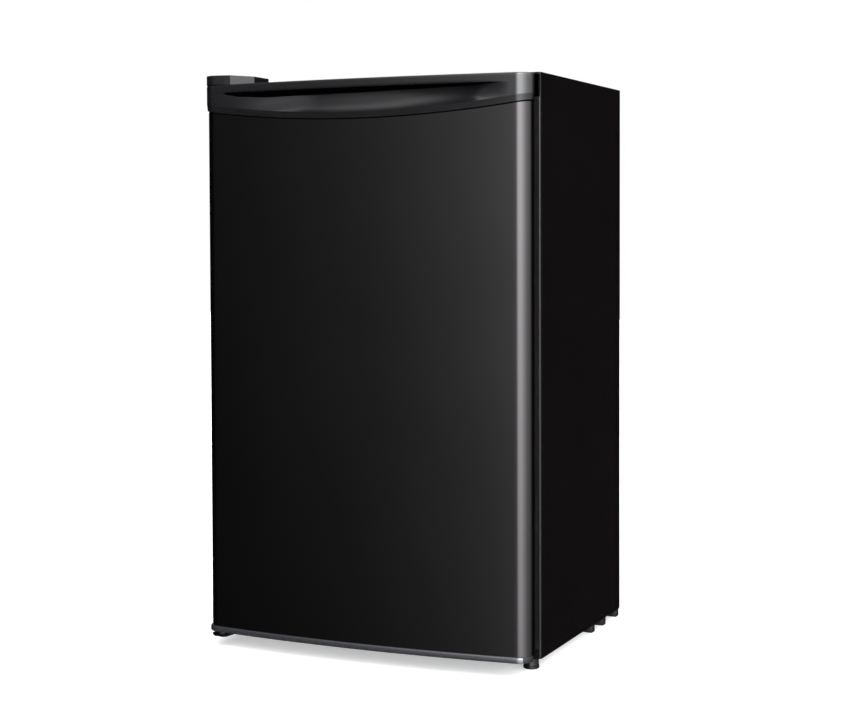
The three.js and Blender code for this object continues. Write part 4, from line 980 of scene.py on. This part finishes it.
class FRIDGE_OT_stage(bpy.types.Operator):
    """Lays the floor, hangs the lights and sets the camera"""

    bl_idname = "fridge.stage"
    bl_label = "Stage"

    def execute(self, context):
        scene = context.scene
        s = scene.fridge_stage
        bm = bmesh.new()
        bmesh.ops.create_grid(bm, x_segments=8, y_segments=8, size=9)
        mesh = bpy.data.meshes.new("floor")
        bm.to_mesh(mesh)
        bm.free()
        floor = bpy.data.objects.new("floor", mesh)
        scene.collection.objects.link(floor)
        mesh.materials.append(self.floor_material(s))
        floor.visible_glossy = False
        panel_light("overhead_panel", (0.3, -0.5, 3.2), (0, 0, 0), 3.4, 3.0, s.top_power)
        self.add_studio(scene, s)
        self.add_camera(scene, s)
        scene.view_settings.view_transform = "Standard"
        return {"FINISHED"}

    def floor_material(self, s):
        """White to the eye far away, with the object's soft shadow near it."""
        material = surface("Pale floor", tuple(s.floor_colour), 0.8, contrast=0.01)
        tree = material.node_tree
        shader = tree.nodes["Principled BSDF"]
        path = node(tree, "ShaderNodeLightPath")
        place = node(tree, "ShaderNodeTexCoord")
        far = node(tree, "ShaderNodeVectorMath", {0: place.outputs["Object"]},
                   operation="LENGTH")
        glow = node(tree, "ShaderNodeMapRange", {"Value": far.outputs["Value"]})
        glow.inputs["From Min"].default_value = 0.3
        glow.inputs["From Max"].default_value = 2.2
        glow.inputs["To Min"].default_value = 0.42
        glow.inputs["To Max"].default_value = 1.0
        seen = node(tree, "ShaderNodeMath", {0: glow.outputs["Result"],
                                             1: path.outputs["Is Camera Ray"]},
                    operation="MULTIPLY")
        shader.inputs["Emission Color"].default_value = (1, 1, 1, 1)
        tree.links.new(seen.outputs[0], shader.inputs["Emission Strength"])
        return material

    def add_studio(self, scene, s):
        """A white backdrop to the eye; a tall softbox at the right of the front for the rest."""
        world = bpy.data.worlds.new("studio")
        scene.world = world
        world.use_nodes = True
        tree = world.node_tree
        tree.nodes.clear()
        place = node(tree, "ShaderNodeTexCoord")
        axes = node(tree, "ShaderNodeSeparateXYZ", {0: place.outputs["Generated"]})
        front = node(tree, "ShaderNodeMath", {0: axes.outputs["Y"]}, operation="MULTIPLY")
        front.inputs[1].default_value = -1
        angle = node(tree, "ShaderNodeMath", {0: axes.outputs["X"], 1: front.outputs[0]},
                     operation="ARCTAN2")
        share = node(tree, "ShaderNodeMapRange", {"Value": angle.outputs[0]})
        share.inputs["From Min"].default_value = -math.pi
        share.inputs["From Max"].default_value = math.pi
        low_end = self.sweep(tree, share, ((-180, 0.0), (-70, 0.0), (-45, 0.010), (-28, 0.024),
                                           (-12, 0.062), (-2, 0.105), (8, 0.12), (20, 0.0)))
        high_end = self.sweep(tree, share, ((-4, 0.0), (6, 0.70), (18, 1.0), (36, 0.95),
                                            (58, 0.58), (82, 0.30), (108, 0.20), (122, 0.13),
                                            (134, 0.0)))
        height = axes.outputs["Z"]
        faint = self.product(tree, low_end, self.ramped(tree, height, -0.45, 0.35, 0.10, 1.5))
        strong = self.product(tree, high_end, self.ramped(tree, height, -0.45, 0.35, 0.35, 1.45))
        front_light = node(tree, "ShaderNodeMath", {0: faint, 1: strong}, operation="ADD")
        above = self.product(tree, self.ramped(tree, height, 0.22, 0.62, 0.0, 1.0),
                             self.ramped(tree, axes.outputs["X"], -0.6, -0.2, 0.1, 0.6))
        base = node(tree, "ShaderNodeMath", {0: above}, operation="ADD")
        base.inputs[1].default_value = s.ambient
        power = node(tree, "ShaderNodeMath", {0: front_light.outputs[0], 2: base.outputs[0]},
                     operation="MULTIPLY_ADD")
        power.inputs[1].default_value = s.strip
        path = node(tree, "ShaderNodeLightPath")
        seen = node(tree, "ShaderNodeBackground", Color=(1, 1, 1, 1), Strength=1.0)
        dim = node(tree, "ShaderNodeBackground", {"Strength": power.outputs[0]},
                   Color=(0.97, 0.98, 1.0, 1))
        mixed = node(tree, "ShaderNodeMixShader", {0: path.outputs["Is Camera Ray"],
                                                   1: dim.outputs[0], 2: seen.outputs[0]})
        out = node(tree, "ShaderNodeOutputWorld")
        tree.links.new(mixed.outputs[0], out.inputs["Surface"])

    def sweep(self, tree, share, stops):
        """A ramp round the horizon, from (degrees, brightness) stops."""
        sweep = node(tree, "ShaderNodeValToRGB", {"Fac": share.outputs["Result"]})
        ramp = sweep.color_ramp
        ramp.interpolation = "EASE"
        while len(ramp.elements) < len(stops):
            ramp.elements.new(0.5)
        for element, (degrees, value) in zip(ramp.elements, stops):
            element.position = (degrees + 180) / 360
            element.color = (value, value, value, 1)
        return sweep.outputs["Color"]

    def ramped(self, tree, value, start, end, low, high):
        """A smooth rise from low to high while the value runs from start to end."""
        rise = node(tree, "ShaderNodeMapRange", {"Value": value},
                    interpolation_type="SMOOTHSTEP")
        rise.inputs["From Min"].default_value = start
        rise.inputs["From Max"].default_value = end
        rise.inputs["To Min"].default_value = low
        rise.inputs["To Max"].default_value = high
        return rise.outputs["Result"]

    def product(self, tree, first, second):
        both = node(tree, "ShaderNodeMath", {0: first, 1: second}, operation="MULTIPLY")
        return both.outputs[0]

    def add_camera(self, scene, s):
        """A camera at the right of the front, a little under the cabinet's top."""
        data = bpy.data.cameras.new("camera")
        data.sensor_width = 36
        data.lens = s.lens
        data.shift_y = s.shift_y
        camera = bpy.data.objects.new("camera", data)
        scene.collection.objects.link(camera)
        yaw, pitch, roll = (math.radians(a) for a in (s.yaw, s.pitch, s.roll))
        back = Vector((math.sin(yaw) * math.cos(pitch), -math.cos(yaw) * math.cos(pitch),
                       math.sin(pitch)))
        level = Vector((math.cos(yaw), math.sin(yaw), 0))
        upward = back.cross(level)
        right = level * math.cos(roll) + upward * math.sin(roll)
        up = upward * math.cos(roll) - level * math.sin(roll)
        front_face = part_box("side_panel_right")[0].y
        place = Vector((1.0890, front_face - s.distance, 0.6203))
        camera.matrix_world = Matrix.Translation(place) @ Matrix((right, up, back)).transposed(
        ).to_4x4()
        scene.camera = camera


class FRIDGE_PT_sidebar(bpy.types.Panel):
    """The fridge's pieces in the sidebar"""

    bl_label = "Mini fridge"
    bl_space_type = "VIEW_3D"
    bl_region_type = "UI"
    bl_category = "Fridge"

    def draw(self, context):
        for operator in OPERATORS:
            self.layout.operator(operator.bl_idname)


OPERATORS = (FRIDGE_OT_stage, FRIDGE_OT_door, FRIDGE_OT_shell, FRIDGE_OT_rest)
SETTINGS = {
    "fridge_door": FridgeDoorSettings,
    "fridge_shell": FridgeShellSettings,
    "fridge_inside": FridgeInsideSettings,
    "fridge_stage": FridgeStageSettings,
}
CLASSES = (*SETTINGS.values(), *OPERATORS, FRIDGE_PT_sidebar)


def register():
    for cls in CLASSES:
        bpy.utils.register_class(cls)
    for name, cls in SETTINGS.items():
        setattr(bpy.types.Scene, name, PointerProperty(type=cls))


def unregister():
    for name in SETTINGS:
        delattr(bpy.types.Scene, name)
    for cls in reversed(CLASSES):
        bpy.utils.unregister_class(cls)


def main():
    register()
    for operator in OPERATORS:
        group, name = operator.bl_idname.split(".")
        getattr(getattr(bpy.ops, group), name)()


if __name__ == "__main__":
    main()
